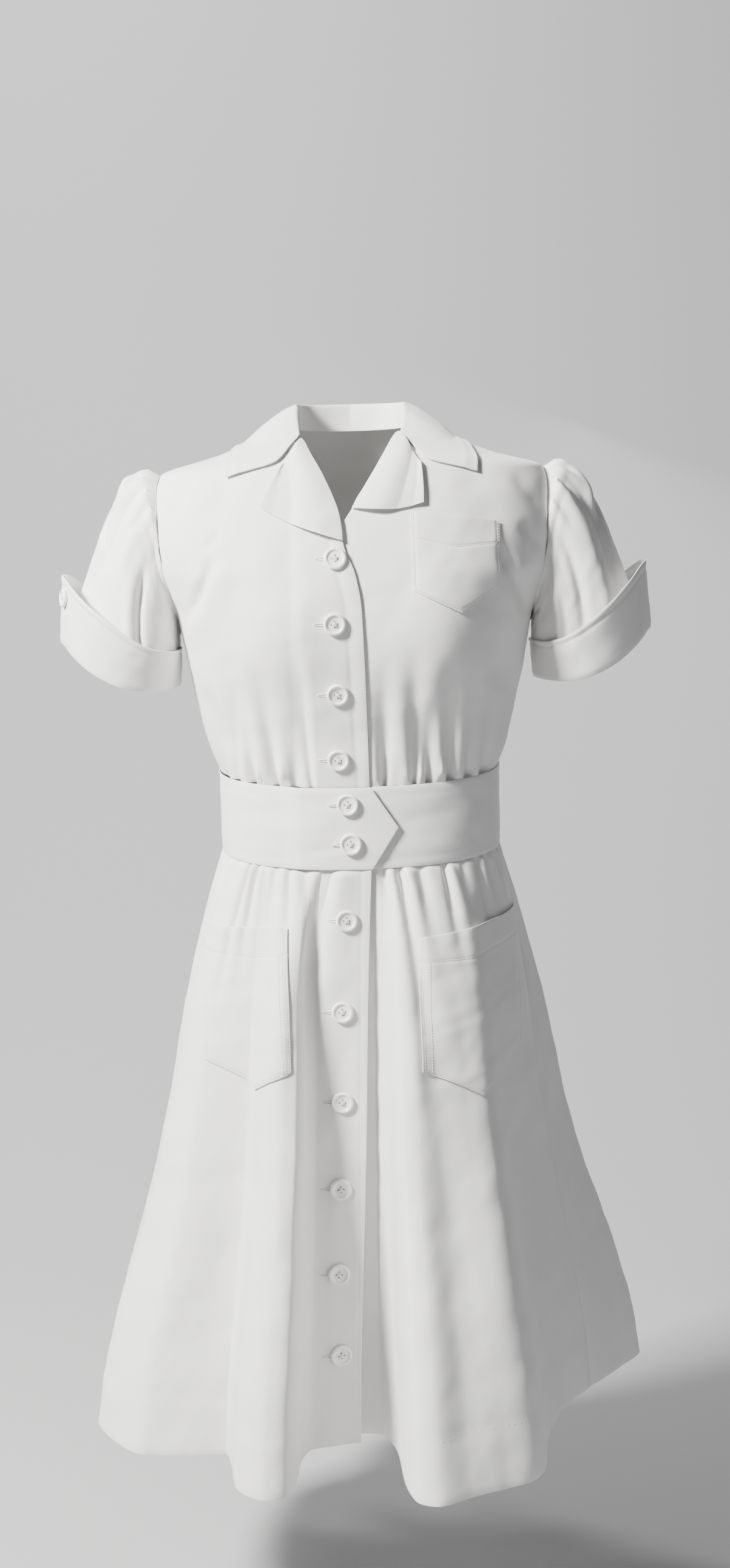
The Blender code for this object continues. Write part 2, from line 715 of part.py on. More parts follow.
def make_collar(material):
    fold = smooth_curve(FOLD_RING)
    edge = smooth_curve(COLLAR_EDGE)
    out = 0.5 * (CLOTH + DOUBLE_CLOTH) + LAYER_GAP

    def place(u, v):
        side = 1.0 if u >= 0.5 else -1.0
        share = abs(2.0 * u - 1.0)
        top = Vector(fold(share))
        outer = Vector(edge(share))
        neck = torso_ring(180.0 - 90.0 * min(share / 0.55, 1.0), 0.0)
        neck.z = 4.0 * GAP
        tuck_in = 1.0 - 0.75 * soft_step(share, 0.75, 1.0)
        inside = Vector((top.x, top.y, 0.0)) * (1.0 - 0.07 * tuck_in)
        inside.z = top.z - 0.004 * tuck_in
        inner = neck.lerp(inside, soft_step(share, 0.40, 0.70))
        if v < STAND_SHARE:
            point = inner.lerp(top, v / STAND_SHARE)
            return Vector((side * point.x, point.y, point.z))
        fall = (v - STAND_SHARE) / (1.0 - STAND_SHARE)
        notch = Vector((NOTCH_X + GORGE_GAP, -0.070, NOTCH_Z + 0.5 * GORGE_GAP))
        bend = share ** 10
        straight = top.lerp(outer, fall)
        if fall < NOTCH_SHARE:
            bent = top.lerp(notch, fall / NOTCH_SHARE)
        else:
            bent = notch.lerp(outer, (fall - NOTCH_SHARE) / (1.0 - NOTCH_SHARE))
        point = straight.lerp(bent, bend)
        rise = COLLAR_RISE * math.sin(math.pi * fall) * (1.0 - share ** 6)
        point += Vector((point.x, point.y, 0.03)).normalized() * rise
        point = lift_off_bodice(point, out)
        return Vector((side * point.x, point.y, point.z))
    cloth_wall("collar", 30, 6, lambda u, v: place(u, 1.0 - v), DOUBLE_CLOTH, material)


def make_button(name, centre, normal, radius, material):
    """A turned button with a raised rim, its back on the cloth."""
    mesh = bpy.data.meshes.new(name)
    work = bmesh.new()
    rim = [work.verts.new((radius * r, 0.0, BUTTON_THICKNESS * h)) for r, h in BUTTON_PROFILE]
    edges = [work.edges.new(pair) for pair in zip(rim, rim[1:])]
    bmesh.ops.spin(work, geom=rim + edges, cent=(0, 0, 0), axis=(0, 0, 1), angle=2.0 * math.pi,
                   steps=10, use_duplicate=False)
    bmesh.ops.remove_doubles(work, verts=work.verts, dist=0.00001)
    bmesh.ops.recalc_face_normals(work, faces=work.faces)
    work.to_mesh(mesh)
    work.free()
    mesh.shade_smooth()
    mesh.set_sharp_from_angle(angle=math.radians(35.0))
    mesh.materials.append(material)
    button = bpy.data.objects.new(name, mesh)
    bpy.context.scene.collection.objects.link(button)
    turn = Vector((0.0, 0.0, 1.0)).rotation_difference(normal).to_matrix().to_4x4()
    button.matrix_world = Matrix.Translation(centre) @ turn


def make_buttons(material, right_skirt):
    rise = 0.5 * CLOTH + BUTTON_GAP
    for number, (x, z) in enumerate(BODICE_BUTTONS, 1):
        angle = front_angle(x, z)
        centre = bodice_point(angle, z, LAP + rise)
        make_button(f"bodice_button_{number}", centre, torso_normal(angle, z), BUTTON_RADIUS, material)
    for number, (x, z) in enumerate(BELT_BUTTONS, 1):
        angle = front_angle(x, z)
        normal = torso_normal(angle, z)
        centre = torso_ring(angle, z) + normal * (1.5 * BELT_THICKNESS + 2.0 * GAP)
        make_button(f"belt_button_{number}", centre, normal, BUTTON_RADIUS, material)
    for number, (x, z) in enumerate(SKIRT_BUTTONS, 1):
        centre, normal = skirt_point(right_skirt, x, z, 0.5 * CLOTH + GAP)
        make_button(f"skirt_button_{number}", centre, normal, BUTTON_RADIUS, material)
    for label, side in (("right", -1.0), ("left", 1.0)):
        turn, up = CUFF_BUTTON_TURN, CUFF_BUTTON_UP
        centre = cuff_point(side, turn, up)
        aside = cuff_point(side, turn + 0.01, up) - cuff_point(side, turn - 0.01, up)
        normal = aside.cross(cuff_point(side, turn, up + 0.05) - centre).normalized()
        if normal.x * side < 0.0:
            normal = -normal
        centre += normal * (0.5 * DOUBLE_CLOTH + GAP)
        make_button("cuff_button_" + label, centre, normal, SMALL_BUTTON_RADIUS, material)


def main():
    clear_scene()
    cotton = make_material("white_cotton", (0.86, 0.86, 0.88), 0.8)
    plastic = make_material("white_button", (0.90, 0.90, 0.89), 0.35)
    make_bodice(cotton)
    make_sleeves(cotton)
    make_belt(cotton)
    right_skirt, left_skirt = make_skirt(cotton)
    make_pockets(cotton, right_skirt, left_skirt)
    make_lapels(cotton)
    make_collar(cotton)
    make_buttons(plastic, right_skirt)


main()
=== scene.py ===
import math

import bpy
import numpy as np
from mathutils import Matrix, Vector


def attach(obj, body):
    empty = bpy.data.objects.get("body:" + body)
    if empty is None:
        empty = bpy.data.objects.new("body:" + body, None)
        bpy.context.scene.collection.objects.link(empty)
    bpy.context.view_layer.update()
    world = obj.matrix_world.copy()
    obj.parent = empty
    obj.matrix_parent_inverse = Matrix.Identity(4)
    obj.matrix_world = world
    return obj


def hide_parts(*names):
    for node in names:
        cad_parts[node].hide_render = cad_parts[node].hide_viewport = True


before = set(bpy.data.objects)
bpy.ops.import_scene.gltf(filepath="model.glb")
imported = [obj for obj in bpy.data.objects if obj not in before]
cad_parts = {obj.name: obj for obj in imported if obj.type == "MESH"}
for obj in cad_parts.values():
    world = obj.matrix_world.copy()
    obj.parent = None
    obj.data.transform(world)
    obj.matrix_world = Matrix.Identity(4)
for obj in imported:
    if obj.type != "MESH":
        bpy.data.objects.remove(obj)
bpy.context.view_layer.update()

# Bodice
# Two fronts and a back of white cotton twill, cut to the figure and eased into the belt with
# small tucks. The right front laps over the left, and both fronts run up into the turned-back lapels.

CLOTH = 0.0012
FACED_CLOTH = 0.0020
LAP = 0.0024
SHOULDER_TIP_Z, UNDERARM_Z = -0.042, -0.172
WAIST_Z, WAIST_TILT, BELT_HEIGHT = -0.317, 0.009, 0.075
ARMHOLE_TURN = 23.0
SIDE_SHARE = 0.45
SEAM = 0.00015
LAP_X, LAP_TOP_Z = (-0.058, -0.044), (-0.092, -0.070)

TORSO_SECTIONS = (
    # z, half width, depth to the front, depth to the back, squareness
    (0.000, 0.052, 0.022, 0.050, 2.0),
    (-0.014, 0.094, 0.050, 0.070, 2.0),
    (-0.028, 0.136, 0.070, 0.082, 2.1),
    (-0.042, 0.178, 0.083, 0.090, 2.2),
    (-0.070, 0.188, 0.096, 0.098, 2.4),
    (-0.100, 0.191, 0.106, 0.103, 2.4),
    (-0.130, 0.186, 0.113, 0.106, 2.4),
    (-0.150, 0.177, 0.116, 0.107, 2.3),
    (-0.172, 0.166, 0.117, 0.106, 2.3),
    (-0.200, 0.160, 0.116, 0.103, 2.3),
    (-0.250, 0.151, 0.108, 0.095, 2.3),
    (-0.290, 0.142, 0.100, 0.089, 2.3),
    (-0.325, 0.1315, 0.096, 0.086, 2.3),
    (-0.410, 0.1315, 0.096, 0.086, 2.3),
)
BUST_X, BUST_Z = 0.078, -0.190
BUST_RISE, BUST_WIDTH, BUST_HEIGHT = 0.011, 0.048, 0.058

RIGHT_FRONT_EDGE = (
    # share of the way up, x, z
    (0.00, 0.009, -0.325),
    (0.22, 0.008, -0.240),
    (0.40, 0.006, -0.166),
    (0.48, 0.001, -0.135),
    (0.54, -0.008, -0.112),
    (0.63, -0.013, -0.082),
    (0.74, -0.025, -0.051),
    (0.84, -0.038, -0.027),
    (0.92, -0.046, -0.010),
    (1.00, -0.052, 0.000),
)
LEFT_FRONT_EDGE = (
    # share of the way up, x, z
    (0.00, -0.038, -0.325),
    (0.25, -0.038, -0.230),
    (0.40, -0.036, -0.160),
    (0.48, -0.028, -0.122),
    (0.56, -0.011, -0.094),
    (0.65, 0.012, -0.060),
    (0.76, 0.027, -0.036),
    (0.86, 0.040, -0.014),
    (1.00, 0.052, 0.000),
)

WAIST_TUCKS = (
    # x at the waist, x at the top, reach above the waist, depth, lean of the fold, pleat depth
    (-0.1240, -0.1300, 0.070, 0.0022, 1, 0.0),
    (-0.1130, -0.1140, 0.128, 0.0036, 1, 0.0),
    (-0.0965, -0.1080, 0.100, 0.0056, 1, 0.0020),
    (-0.0745, -0.0890, 0.112, 0.0056, 1, 0.0020),
    (-0.0580, -0.0610, 0.070, 0.0022, -1, 0.0),
    (-0.0420, -0.0530, 0.136, 0.0046, 1, 0.0),
    (0.0225, 0.0260, 0.126, 0.0044, -1, 0.0),
    (0.0500, 0.0520, 0.130, 0.0050, -1, 0.0),
    (0.0615, 0.0660, 0.085, 0.0050, -1, 0.0020),
    (0.0815, 0.0850, 0.118, 0.0056, -1, 0.0020),
    (0.0990, 0.1100, 0.104, 0.0040, -1, 0.0),
    (0.1140, 0.1280, 0.080, 0.0034, -1, 0.0),
)
BACK_TUCKS = (
    # x at the waist, x at the top, reach above the waist, depth, lean of the fold, pleat depth
    (-0.1080, -0.1240, 0.078, 0.0036, 1, 0.0),
    (-0.0860, -0.1000, 0.108, 0.0052, 1, 0.0020),
    (-0.0610, -0.0670, 0.127, 0.0056, 1, 0.0020),
    (-0.0360, -0.0400, 0.082, 0.0036, 1, 0.0),
    (0.0340, 0.0370, 0.090, 0.0036, -1, 0.0),
    (0.0570, 0.0630, 0.122, 0.0056, -1, 0.0020),
    (0.0830, 0.0960, 0.102, 0.0050, -1, 0.0020),
    (0.1070, 0.1220, 0.084, 0.0036, -1, 0.0),
)
# A tuck's trough at the belt and what it gains towards its top, the ridge beside it as shares of the
# trough, the flanks of a small pleat, and how far the cloth may stand out just over the belt
TUCK_WIDTH, TUCK_OPENING = 0.0030, 0.0075
RIDGE_SHARE, RIDGE_PLACE, RIDGE_WIDTH = 0.45, 1.9, 1.5
PLEAT_REACH, PLEAT_EDGE, PLEAT_BACK = (0.010, 0.034), (0.0002, 0.0012), (0.0070, 0.0110)
BULGE_LIMIT, BULGE_GAIN, BULGE_REACH = 0.0010, 0.0050, (0.002, 0.016)
# How far a crease bows aside, as a share of its length, and where its two ends fade
CREASE_BOW, CREASE_START, CREASE_END = 0.10, (-0.15, 0.30), (0.62, 1.12)


def smooth_curve(rows):
    """A cubic through rows of (parameter, value, ...) that never overshoots a row."""
    table = np.array(sorted(rows), dtype=float)
    knots, values = table[:, 0], table[:, 1:]
    slopes = np.diff(values, axis=0) / np.diff(knots)[:, None]
    tangents = np.zeros_like(values)
    tangents[0], tangents[-1] = slopes[0], slopes[-1]
    same_way = slopes[:-1] * slopes[1:] > 0.0
    total = np.where(same_way, slopes[:-1] + slopes[1:], 1.0)
    tangents[1:-1] = np.where(same_way, 2.0 * slopes[:-1] * slopes[1:] / total, 0.0)

    def read(parameter):
        spot = np.clip(np.asarray(parameter, dtype=float), knots[0], knots[-1])
        i = np.clip(np.searchsorted(knots, spot, side="right") - 1, 0, len(knots) - 2)
        h = (knots[i + 1] - knots[i])[..., None]
        t = (spot - knots[i])[..., None] / h
        return (values[i] * (1 + 2 * t) * (1 - t) ** 2 + tangents[i] * h * t * (1 - t) ** 2
                + values[i + 1] * t * t * (3 - 2 * t) - tangents[i + 1] * h * t * t * (1 - t))

    return read


def soft_step(value, start, end):
    t = np.clip((value - start) / (end - start), 0.0, 1.0)
    return t * t * (3.0 - 2.0 * t)


def hill(value, centre, width):
    """A smooth hill, one high at the centre: the section of a fold, a groove or a ridge."""
    return np.exp(-((value - centre) / width) ** 2)


def unit(vectors):
    return vectors / np.maximum(np.linalg.norm(vectors, axis=-1, keepdims=True), 1e-9)


torso_section = smooth_curve(TORSO_SECTIONS)


def waist_height(angle):
    """Height of the belt's top edge at an angle in degrees from the front towards +X."""
    return WAIST_Z - WAIST_TILT * np.cos(np.radians(angle))


def torso_ring(angle, z):
    """Places on the plain torso form."""
    angle, z = np.broadcast_arrays(np.asarray(angle, dtype=float), np.asarray(z, dtype=float))
    section = torso_section(z)
    sine, cosine = np.sin(np.radians(angle)), np.cos(np.radians(angle))
    depth = np.where(cosine > 0.0, section[..., 1], section[..., 2])
    power = 2.0 / section[..., 3]
    x = section[..., 0] * np.sign(sine) * np.abs(sine) ** power
    y = -depth * np.sign(cosine) * np.abs(cosine) ** power
    return np.stack([x, y, z], axis=-1)


def torso_normal(angle, z):
    aside = torso_ring(angle + 1.0, z) - torso_ring(angle - 1.0, z)
    upward = torso_ring(angle, np.minimum(z + 0.003, -0.0001)) - torso_ring(angle, z - 0.003)
    return unit(np.cross(aside, upward))


def front_angle(x, z):
    """Angle at which the torso form's front has this x."""
    section = torso_section(z)
    share = np.clip(np.abs(x) / section[..., 0], 0.0, 1.0) ** (section[..., 3] / 2.0)
    return np.sign(x) * np.degrees(np.arcsin(np.clip(share, 0.0, 1.0)))


def bodice_form(angle, z, out=0.0):
    """Places on the bodice with the bust's fullness, moved out along the normal."""
    places = torso_ring(angle, z)
    across = (np.abs(places[..., 0]) - BUST_X) / BUST_WIDTH
    height = (places[..., 2] - BUST_Z) / BUST_HEIGHT
    bust = BUST_RISE * np.exp(-across ** 2 - height ** 2) * (np.cos(np.radians(angle)) > 0.0)
    return places + torso_normal(angle, z) * (bust + out)[..., None]


def front_form(x, z, out=0.0):
    return bodice_form(front_angle(x, z), z, out)


def front_lap(x, z):
    """How far the right front stands out where it laps over the left."""
    return LAP * soft_step(x, *LAP_X) * (1.0 - soft_step(z, *LAP_TOP_Z))


def tuck_relief(tucks, x, z):
    """Tucks: soft folds that tighten towards the belt, some ending in a small sharp pleat."""
    height = np.zeros_like(x)
    above = z - WAIST_Z + WAIST_TILT
    for foot_x, head_x, reach, depth, lean, pleat in tucks:
        rise = np.clip(above / reach, 0.0, 1.0)
        offset = (x - foot_x - (head_x - foot_x) * rise) * lean
        width = TUCK_WIDTH + TUCK_OPENING * rise ** 0.7
        fade = 1.25 * (1.0 - rise) ** 0.85
        height -= depth * fade * hill(offset, 0.0, width)
        height += RIDGE_SHARE * depth * fade * hill(offset, RIDGE_PLACE * width, RIDGE_WIDTH * width)
        tight = 1.0 - soft_step(above, *PLEAT_REACH)
        flap = soft_step(offset, *PLEAT_EDGE) * (1.0 - soft_step(offset, *PLEAT_BACK))
        height += pleat * tight * flap
    return np.minimum(height, BULGE_LIMIT + BULGE_GAIN * soft_step(above, *BULGE_REACH))


def crease_relief(creases, a, b):
    """Soft troughs and ridges along lines in the plane of a and b: depth below zero is a trough."""
    height = np.zeros_like(a)
    for start_a, start_b, end_a, end_b, width, depth in creases:
        run = np.array((end_a - start_a, end_b - start_b))
        length = float(np.hypot(*run))
        along = ((a - start_a) * run[0] + (b - start_b) * run[1]) / length ** 2
        across = ((a - start_a) * run[1] - (b - start_b) * run[0]) / length
        across = across + CREASE_BOW * length * along * (1.0 - along)
        ends = soft_step(along, *CREASE_START) * (1.0 - soft_step(along, *CREASE_END))
        height += depth * ends * hill(across, 0.0, width)
    return height


def unevenness(a, b, scale):
    """Gentle irregular swell of pressed cloth, between about -1 and 1, a and b in metres."""
    total = np.zeros_like(a)
    for number in range(1, 7):
        turn = 2.4 * number
        step = scale / (0.55 + 0.31 * number)
        phase = (a * math.cos(turn) + b * math.sin(turn)) * 2.0 * math.pi / step
        total += np.sin(phase + 1.7 * number + 1.3 * np.sin(phase * 0.37 + number)) / 6.0
    return total


def armhole(turn):
    """Angle and height of the armhole's front half, from the shoulder to the underarm."""
    z = UNDERARM_Z + 0.5 * (SHOULDER_TIP_Z - UNDERARM_Z) * (1.0 + np.cos(np.pi * turn))
    return 90.0 - ARMHOLE_TURN * np.sin(np.pi * turn), z


def side_edge(v):
    """Side seam and armhole of the left front, from the belt up."""
    low = waist_height(90.0) + SEAM
    seam_z = low + (UNDERARM_Z - low) * np.minimum(v / SIDE_SHARE, 1.0)
    angle, z = armhole(np.clip((1.0 - v) / (1.0 - SIDE_SHARE), 0.0, 1.0))
    return np.where(v < SIDE_SHARE, 90.0, angle), np.where(v < SIDE_SHARE, seam_z, z)


def four_edges(left, right, low, high):
    """A Coons patch of four edges, each a function to (angle, z)."""
    def at(u, v):
        zero, one = np.zeros(1), np.ones(1)
        places = []
        for k in (0, 1):
            ruled = (1 - u) * left(v)[k] + u * right(v)[k] + (1 - v) * low(u)[k] + v * high(u)[k]
            ruled = ruled - (1 - u) * (1 - v) * low(zero)[k] - u * (1 - v) * low(one)[k]
            places.append(ruled - (1 - u) * v * high(zero)[k] - u * v * high(one)[k])
        return places
    return at


def raised(form, relief):
    """The form with its folds: form(u, v) moved along its normal by relief(u, v, places)."""
    def at(u, v, out=0.0):
        step = 0.002
        places = form(u, v)
        aside = form(np.minimum(u + step, 1.0), v) - form(np.maximum(u - step, 0.0), v)
        upward = form(u, np.minimum(v + step, 1.0)) - form(u, np.maximum(v - step, 0.0))
        return places + unit(np.cross(aside, upward)) * (relief(u, v, places) + out)[:, None]
    return at


def weld(threshold):
    """Merges the points of the active mesh that lie closer together than this."""
    bpy.ops.object.mode_set(mode="EDIT")
    bpy.ops.mesh.select_all(action="SELECT")
    bpy.ops.mesh.remove_doubles(threshold=threshold)
    bpy.ops.object.mode_set(mode="OBJECT")


EDGE_ROUNDING = 0.32


def lay_cloth(name, columns, rows, place, thickness, size, closed=False):
    """A grid laid on place(u, v) and thickened, its edges rounded, with a UV map in metres."""
    bpy.ops.object.select_all(action="DESELECT")
    bpy.ops.mesh.primitive_grid_add(x_subdivisions=columns, y_subdivisions=rows, size=1.0)
    piece = bpy.context.object
    piece.name = piece.data.name = name
    mesh = piece.data
    spots = np.empty(3 * len(mesh.vertices))
    mesh.vertices.foreach_get("co", spots)
    u, v = np.clip(spots[0::3] + 0.5, 0.0, 1.0), np.clip(spots[1::3] + 0.5, 0.0, 1.0)
    mesh.vertices.foreach_set("co", place(u, v).ravel())
    layer = mesh.uv_layers[0].data
    corners = np.empty(2 * len(layer))
    layer.foreach_get("uv", corners)
    layer.foreach_set("uv", (corners.reshape(-1, 2) * np.array(size)).ravel())
    if closed:
        weld(0.00002)
    wall = piece.modifiers.new("Wall", "SOLIDIFY")
    wall.thickness = thickness
    wall.offset = 0.0
    wall.use_even_offset = True
    wall.thickness_clamp = 2.0
    bpy.ops.object.modifier_apply(modifier="Wall")
    turned = piece.modifiers.new("Turned edge", "BEVEL")
    turned.limit_method = "ANGLE"
    turned.angle_limit = math.radians(65.0)
    turned.width = EDGE_ROUNDING * thickness
    turned.segments = 2
    bpy.ops.object.modifier_apply(modifier="Turned edge")
    bpy.ops.object.shade_smooth_by_angle(angle=math.radians(50.0))
    return piece


def linear(hex_colour):
    """An sRGB hex colour as linear RGBA."""
    channels = [int(hex_colour[i:i + 2], 16) / 255.0 for i in (1, 3, 5)]
    return [c / 12.92 if c <= 0.04045 else ((c + 0.055) / 1.055) ** 2.4 for c in channels] + [1.0]


def add_node(tree, kind, inputs=None, **settings):
    """A node with its settings; each input takes a value or another node's output."""
    made = tree.nodes.new(kind)
    for name, value in settings.items():
        setattr(made, name, value)
    for socket, value in (inputs or {}).items():
        if isinstance(value, bpy.types.NodeSocket):
            tree.links.new(value, made.inputs[socket])
        else:
            made.inputs[socket].default_value = value
    return made


def start_material(name):
    """A new material with its node tree and its shader."""
    made = bpy.data.materials.new(name)
    made.use_nodes = True
    return made, made.node_tree, made.node_tree.nodes["Principled BSDF"]


# Bleached cotton twill, woven and pressed: matt white with steep fine ribs, a faint bloom of fibre
# on surfaces that turn away, and very slight mottling. The ribs of the real cloth are 0.5 mm apart
# and are drawn at 1.1 mm, so that they show at all.
RIB_PITCH = 0.0011
cotton_twill, tree, shader = start_material("bleached_cotton_twill")
flat_place = add_node(tree, "ShaderNodeUVMap").outputs["UV"]
steep = add_node(tree, "ShaderNodeMapping", {
    "Vector": flat_place, "Rotation": (0.0, 0.0, math.radians(27.0))})
ribs = add_node(tree, "ShaderNodeTexWave", {
    "Vector": steep.outputs["Vector"], "Scale": 2.0 * math.pi / 20.0 / RIB_PITCH,
    "Distortion": 0.6, "Detail": 1.0, "Detail Scale": 2.0}, bands_direction="X")
slubs = add_node(tree, "ShaderNodeTexNoise", {
    "Vector": flat_place, "Scale": 1.0 / 0.0035, "Detail": 3.0, "Roughness": 0.6})
mottle = add_node(tree, "ShaderNodeTexNoise", {
    "Vector": flat_place, "Scale": 1.0 / 0.045, "Detail": 4.0, "Roughness": 0.55})
weave = add_node(tree, "ShaderNodeMix", {
    "Factor": 0.45, "A": ribs.outputs["Fac"], "B": slubs.outputs["Fac"]})
press = add_node(tree, "ShaderNodeBump", {
    "Height": mottle.outputs["Fac"], "Strength": 0.16, "Distance": 0.0012})
bump = add_node(tree, "ShaderNodeBump", {
    "Height": weave.outputs["Result"], "Strength": 0.35, "Distance": 0.00022,
    "Normal": press.outputs["Normal"]})
tone = add_node(tree, "ShaderNodeValToRGB", {"Fac": mottle.outputs["Fac"]})
tone.color_ramp.elements[0].color = linear("#dddddc")
tone.color_ramp.elements[1].color = linear("#e8e8e6")
gloss = add_node(tree, "ShaderNodeMapRange", {
    "Value": mottle.outputs["Fac"], "To Min": 0.62, "To Max": 0.80})
tree.links.new(tone.outputs["Color"], shader.inputs["Base Color"])
tree.links.new(gloss.outputs["Result"], shader.inputs["Roughness"])
tree.links.new(bump.outputs["Normal"], shader.inputs["Normal"])
shader.inputs["IOR"].default_value = 1.5
shader.inputs["Specular IOR Level"].default_value = 0.35
shader.inputs["Sheen Weight"].default_value = 0.18
shader.inputs["Sheen Roughness"].default_value = 0.45


def sew_in(piece, node_name, width, area):
    """Gives a cloth piece its material and body, and hides the part of model.glb that it replaces; width
    and area, the size it was cut to, are not used.
    """
    piece.data.materials.append(cotton_twill)
    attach(piece, "root")
    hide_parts(node_name)


FRONT_CREASES = (
    # from x, z, to x, z, width, height
    (0.146, -0.052, 0.174, -0.082, 0.007, -0.0018),
    (0.150, -0.095, 0.172, -0.118, 0.007, -0.0020),
    (0.132, -0.116, 0.154, -0.174, 0.0065, -0.0048),
    (0.126, -0.190, 0.134, -0.246, 0.012, -0.0022),
    (0.138, -0.128, 0.144, -0.205, 0.012, 0.0020),
    (0.105, -0.040, 0.128, -0.100, 0.014, -0.0012),
    (0.060, -0.120, 0.030, -0.170, 0.016, -0.0012),
    (0.128, -0.215, 0.112, -0.285, 0.010, -0.0022),
    (0.148, -0.235, 0.132, -0.300, 0.008, -0.0020),
)
RIGHT_CREASES = (
    # from x, z, to x, z, width, height
    (-0.150, -0.050, -0.170, -0.086, 0.008, -0.0018),
    (-0.124, -0.118, -0.150, -0.172, 0.0060, -0.0046),
    (-0.116, -0.122, -0.130, -0.186, 0.012, 0.0026),
    (-0.118, -0.094, -0.134, -0.112, 0.0050, -0.0016),
    (-0.132, -0.124, -0.148, -0.200, 0.013, 0.0022),
    (-0.108, -0.044, -0.132, -0.098, 0.014, -0.0014),
    (-0.070, -0.112, -0.040, -0.158, 0.018, -0.0014),
    (-0.142, -0.236, -0.118, -0.304, 0.009, -0.0036),
)
EDGE_GROOVE, EDGE_GROOVE_WIDTH, EDGE_GROOVE_DEPTH = 0.0055, 0.0009, 0.0005
EDGE_RIDGE, EDGE_RIDGE_WIDTH, EDGE_RIDGE_HEIGHT = 0.0022, 0.0016, 0.0006
SEAM_DIP, SEAM_DIP_WIDTH, WAIST_DIP = 0.0007, 0.0030, 0.0010
# The strip under the buttons, where folds fade out, and the height and size of the cloth's swell
STRIP_X, STRIP_EDGE = -0.017, (0.018, 0.032)
FRONT_SWELL, FRONT_SWELL_SIZE = 0.0006, 0.075
BACK_SWELL, BACK_SWELL_SIZE = 0.0007, 0.080
# About how far the panels run, in metres: across a front and the back, below a shoulder, over the belt
SIDE_SEAM_X, FRONT_ACROSS, BACK_ACROSS, BELOW_SHOULDER, OVER_BELT = 0.165, 0.13, 0.3, 0.17, 0.15


def seam_dip(distance, depth=SEAM_DIP, width=SEAM_DIP_WIDTH):
    """Cloth drawn in where it is sewn, at a distance in metres from the seam."""
    return -depth * hill(distance, 0.0, width)


def front_folds(x, z):
    """Tucks, creases and swell of both fronts; the strip under the buttons lies nearly flat."""
    creases = crease_relief(FRONT_CREASES, x, z) + crease_relief(RIGHT_CREASES, x, z)
    strip = 1.0 - soft_step(np.abs(x - STRIP_X), *STRIP_EDGE)
    swell = FRONT_SWELL * unevenness(x, z, FRONT_SWELL_SIZE)
    return (tuck_relief(WAIST_TUCKS, x, z) + creases) * (1.0 - strip) + swell


def front_panel(name, side, edge_rows, lapped):
    edge_curve = smooth_curve(edge_rows)
    foot_angle = float(front_angle(np.array(edge_rows[0][1]), np.array(-0.325)))

    def edge(v):
        places = edge_curve(v)
        z = np.where(v == 0.0, waist_height(foot_angle) + SEAM, places[..., 1])
        return front_angle(places[..., 0], z), z

    def outer(v):
        angle, z = side_edge(v)
        return side * angle, z

    def waist(u):
        angle = foot_angle + (side * 90.0 - foot_angle) * u
        return angle, waist_height(angle) + SEAM

    def shoulder(u):
        return side * 90.0 + 0.0 * u, SHOULDER_TIP_Z * u

    surface = four_edges(edge, outer, waist, shoulder)

    def form(u, v):
        u = u if side > 0 else 1.0 - u
        angle, z = surface(u, v)
        lap = front_lap(torso_ring(angle, z)[..., 0], z) if lapped else 0.0 * z
        return bodice_form(angle, z, lap)

    def relief(u, v, places):
        u = u if side > 0 else 1.0 - u
        x, z = places[..., 0], places[..., 2]
        from_edge = u * np.abs(edge_curve(v)[..., 0] - side * SIDE_SEAM_X)
        height = front_folds(x, z)
        height += (seam_dip((1.0 - u) * FRONT_ACROSS) + seam_dip((1.0 - v) * BELOW_SHOULDER)
                   + seam_dip(v * OVER_BELT, WAIST_DIP))
        if lapped:
            height -= EDGE_GROOVE_DEPTH * hill(from_edge, EDGE_GROOVE, EDGE_GROOVE_WIDTH)
            height += EDGE_RIDGE_HEIGHT * hill(from_edge, EDGE_RIDGE, EDGE_RIDGE_WIDTH)
        return height

    piece = lay_cloth(name, 200, 110, raised(form, relief), CLOTH, (0.20, 0.34))
    sew_in(piece, name, 0.29, 0.072)


front_panel("bodice_front_right", -1, RIGHT_FRONT_EDGE, True)
front_panel("bodice_front_left", 1, LEFT_FRONT_EDGE, False)

BACK_CREASES = (
    # from x, z, to x, z, width, height
    (-0.150, -0.090, -0.160, -0.172, 0.011, -0.0045),
    (-0.136, -0.120, -0.148, -0.200, 0.013, 0.0020),
    (-0.120, -0.050, -0.150, -0.110, 0.012, -0.0018),
    (-0.050, -0.030, -0.110, -0.060, 0.014, -0.0014),
    (-0.142, -0.225, -0.118, -0.290, 0.010, -0.0026),
    (0.148, -0.096, 0.159, -0.170, 0.010, -0.0048),
    (0.134, -0.112, 0.146, -0.195, 0.013, 0.0018),
    (0.112, -0.052, 0.152, -0.104, 0.013, -0.0020),
    (0.060, -0.034, 0.100, -0.052, 0.013, -0.0012),
    (0.138, -0.232, 0.116, -0.285, 0.010, -0.0024),
    (0.020, -0.060, 0.012, -0.170, 0.022, -0.0010),
    (-0.024, -0.150, -0.018, -0.235, 0.020, -0.0012),
)
NECK_SHARE = 0.36


def back_shoulders(u):
    """Shoulder seam, back neckline and the other shoulder seam."""
    tip = np.maximum(1.0 - u / NECK_SHARE, 0.0) + np.maximum((u - 1.0 + NECK_SHARE) / NECK_SHARE, 0.0)
    angle = 90.0 + 180.0 * np.clip((u - NECK_SHARE) / (1.0 - 2.0 * NECK_SHARE), 0.0, 1.0)
    return angle, SHOULDER_TIP_Z * tip


def back_side(first):
    def at(v):
        angle, z = side_edge(v)
        return (180.0 - angle if first else 180.0 + angle), z
    return at


back_surface = four_edges(
    back_side(True), back_side(False),
    lambda u: (90.0 + 180.0 * u, waist_height(90.0 + 180.0 * u) + SEAM), back_shoulders)


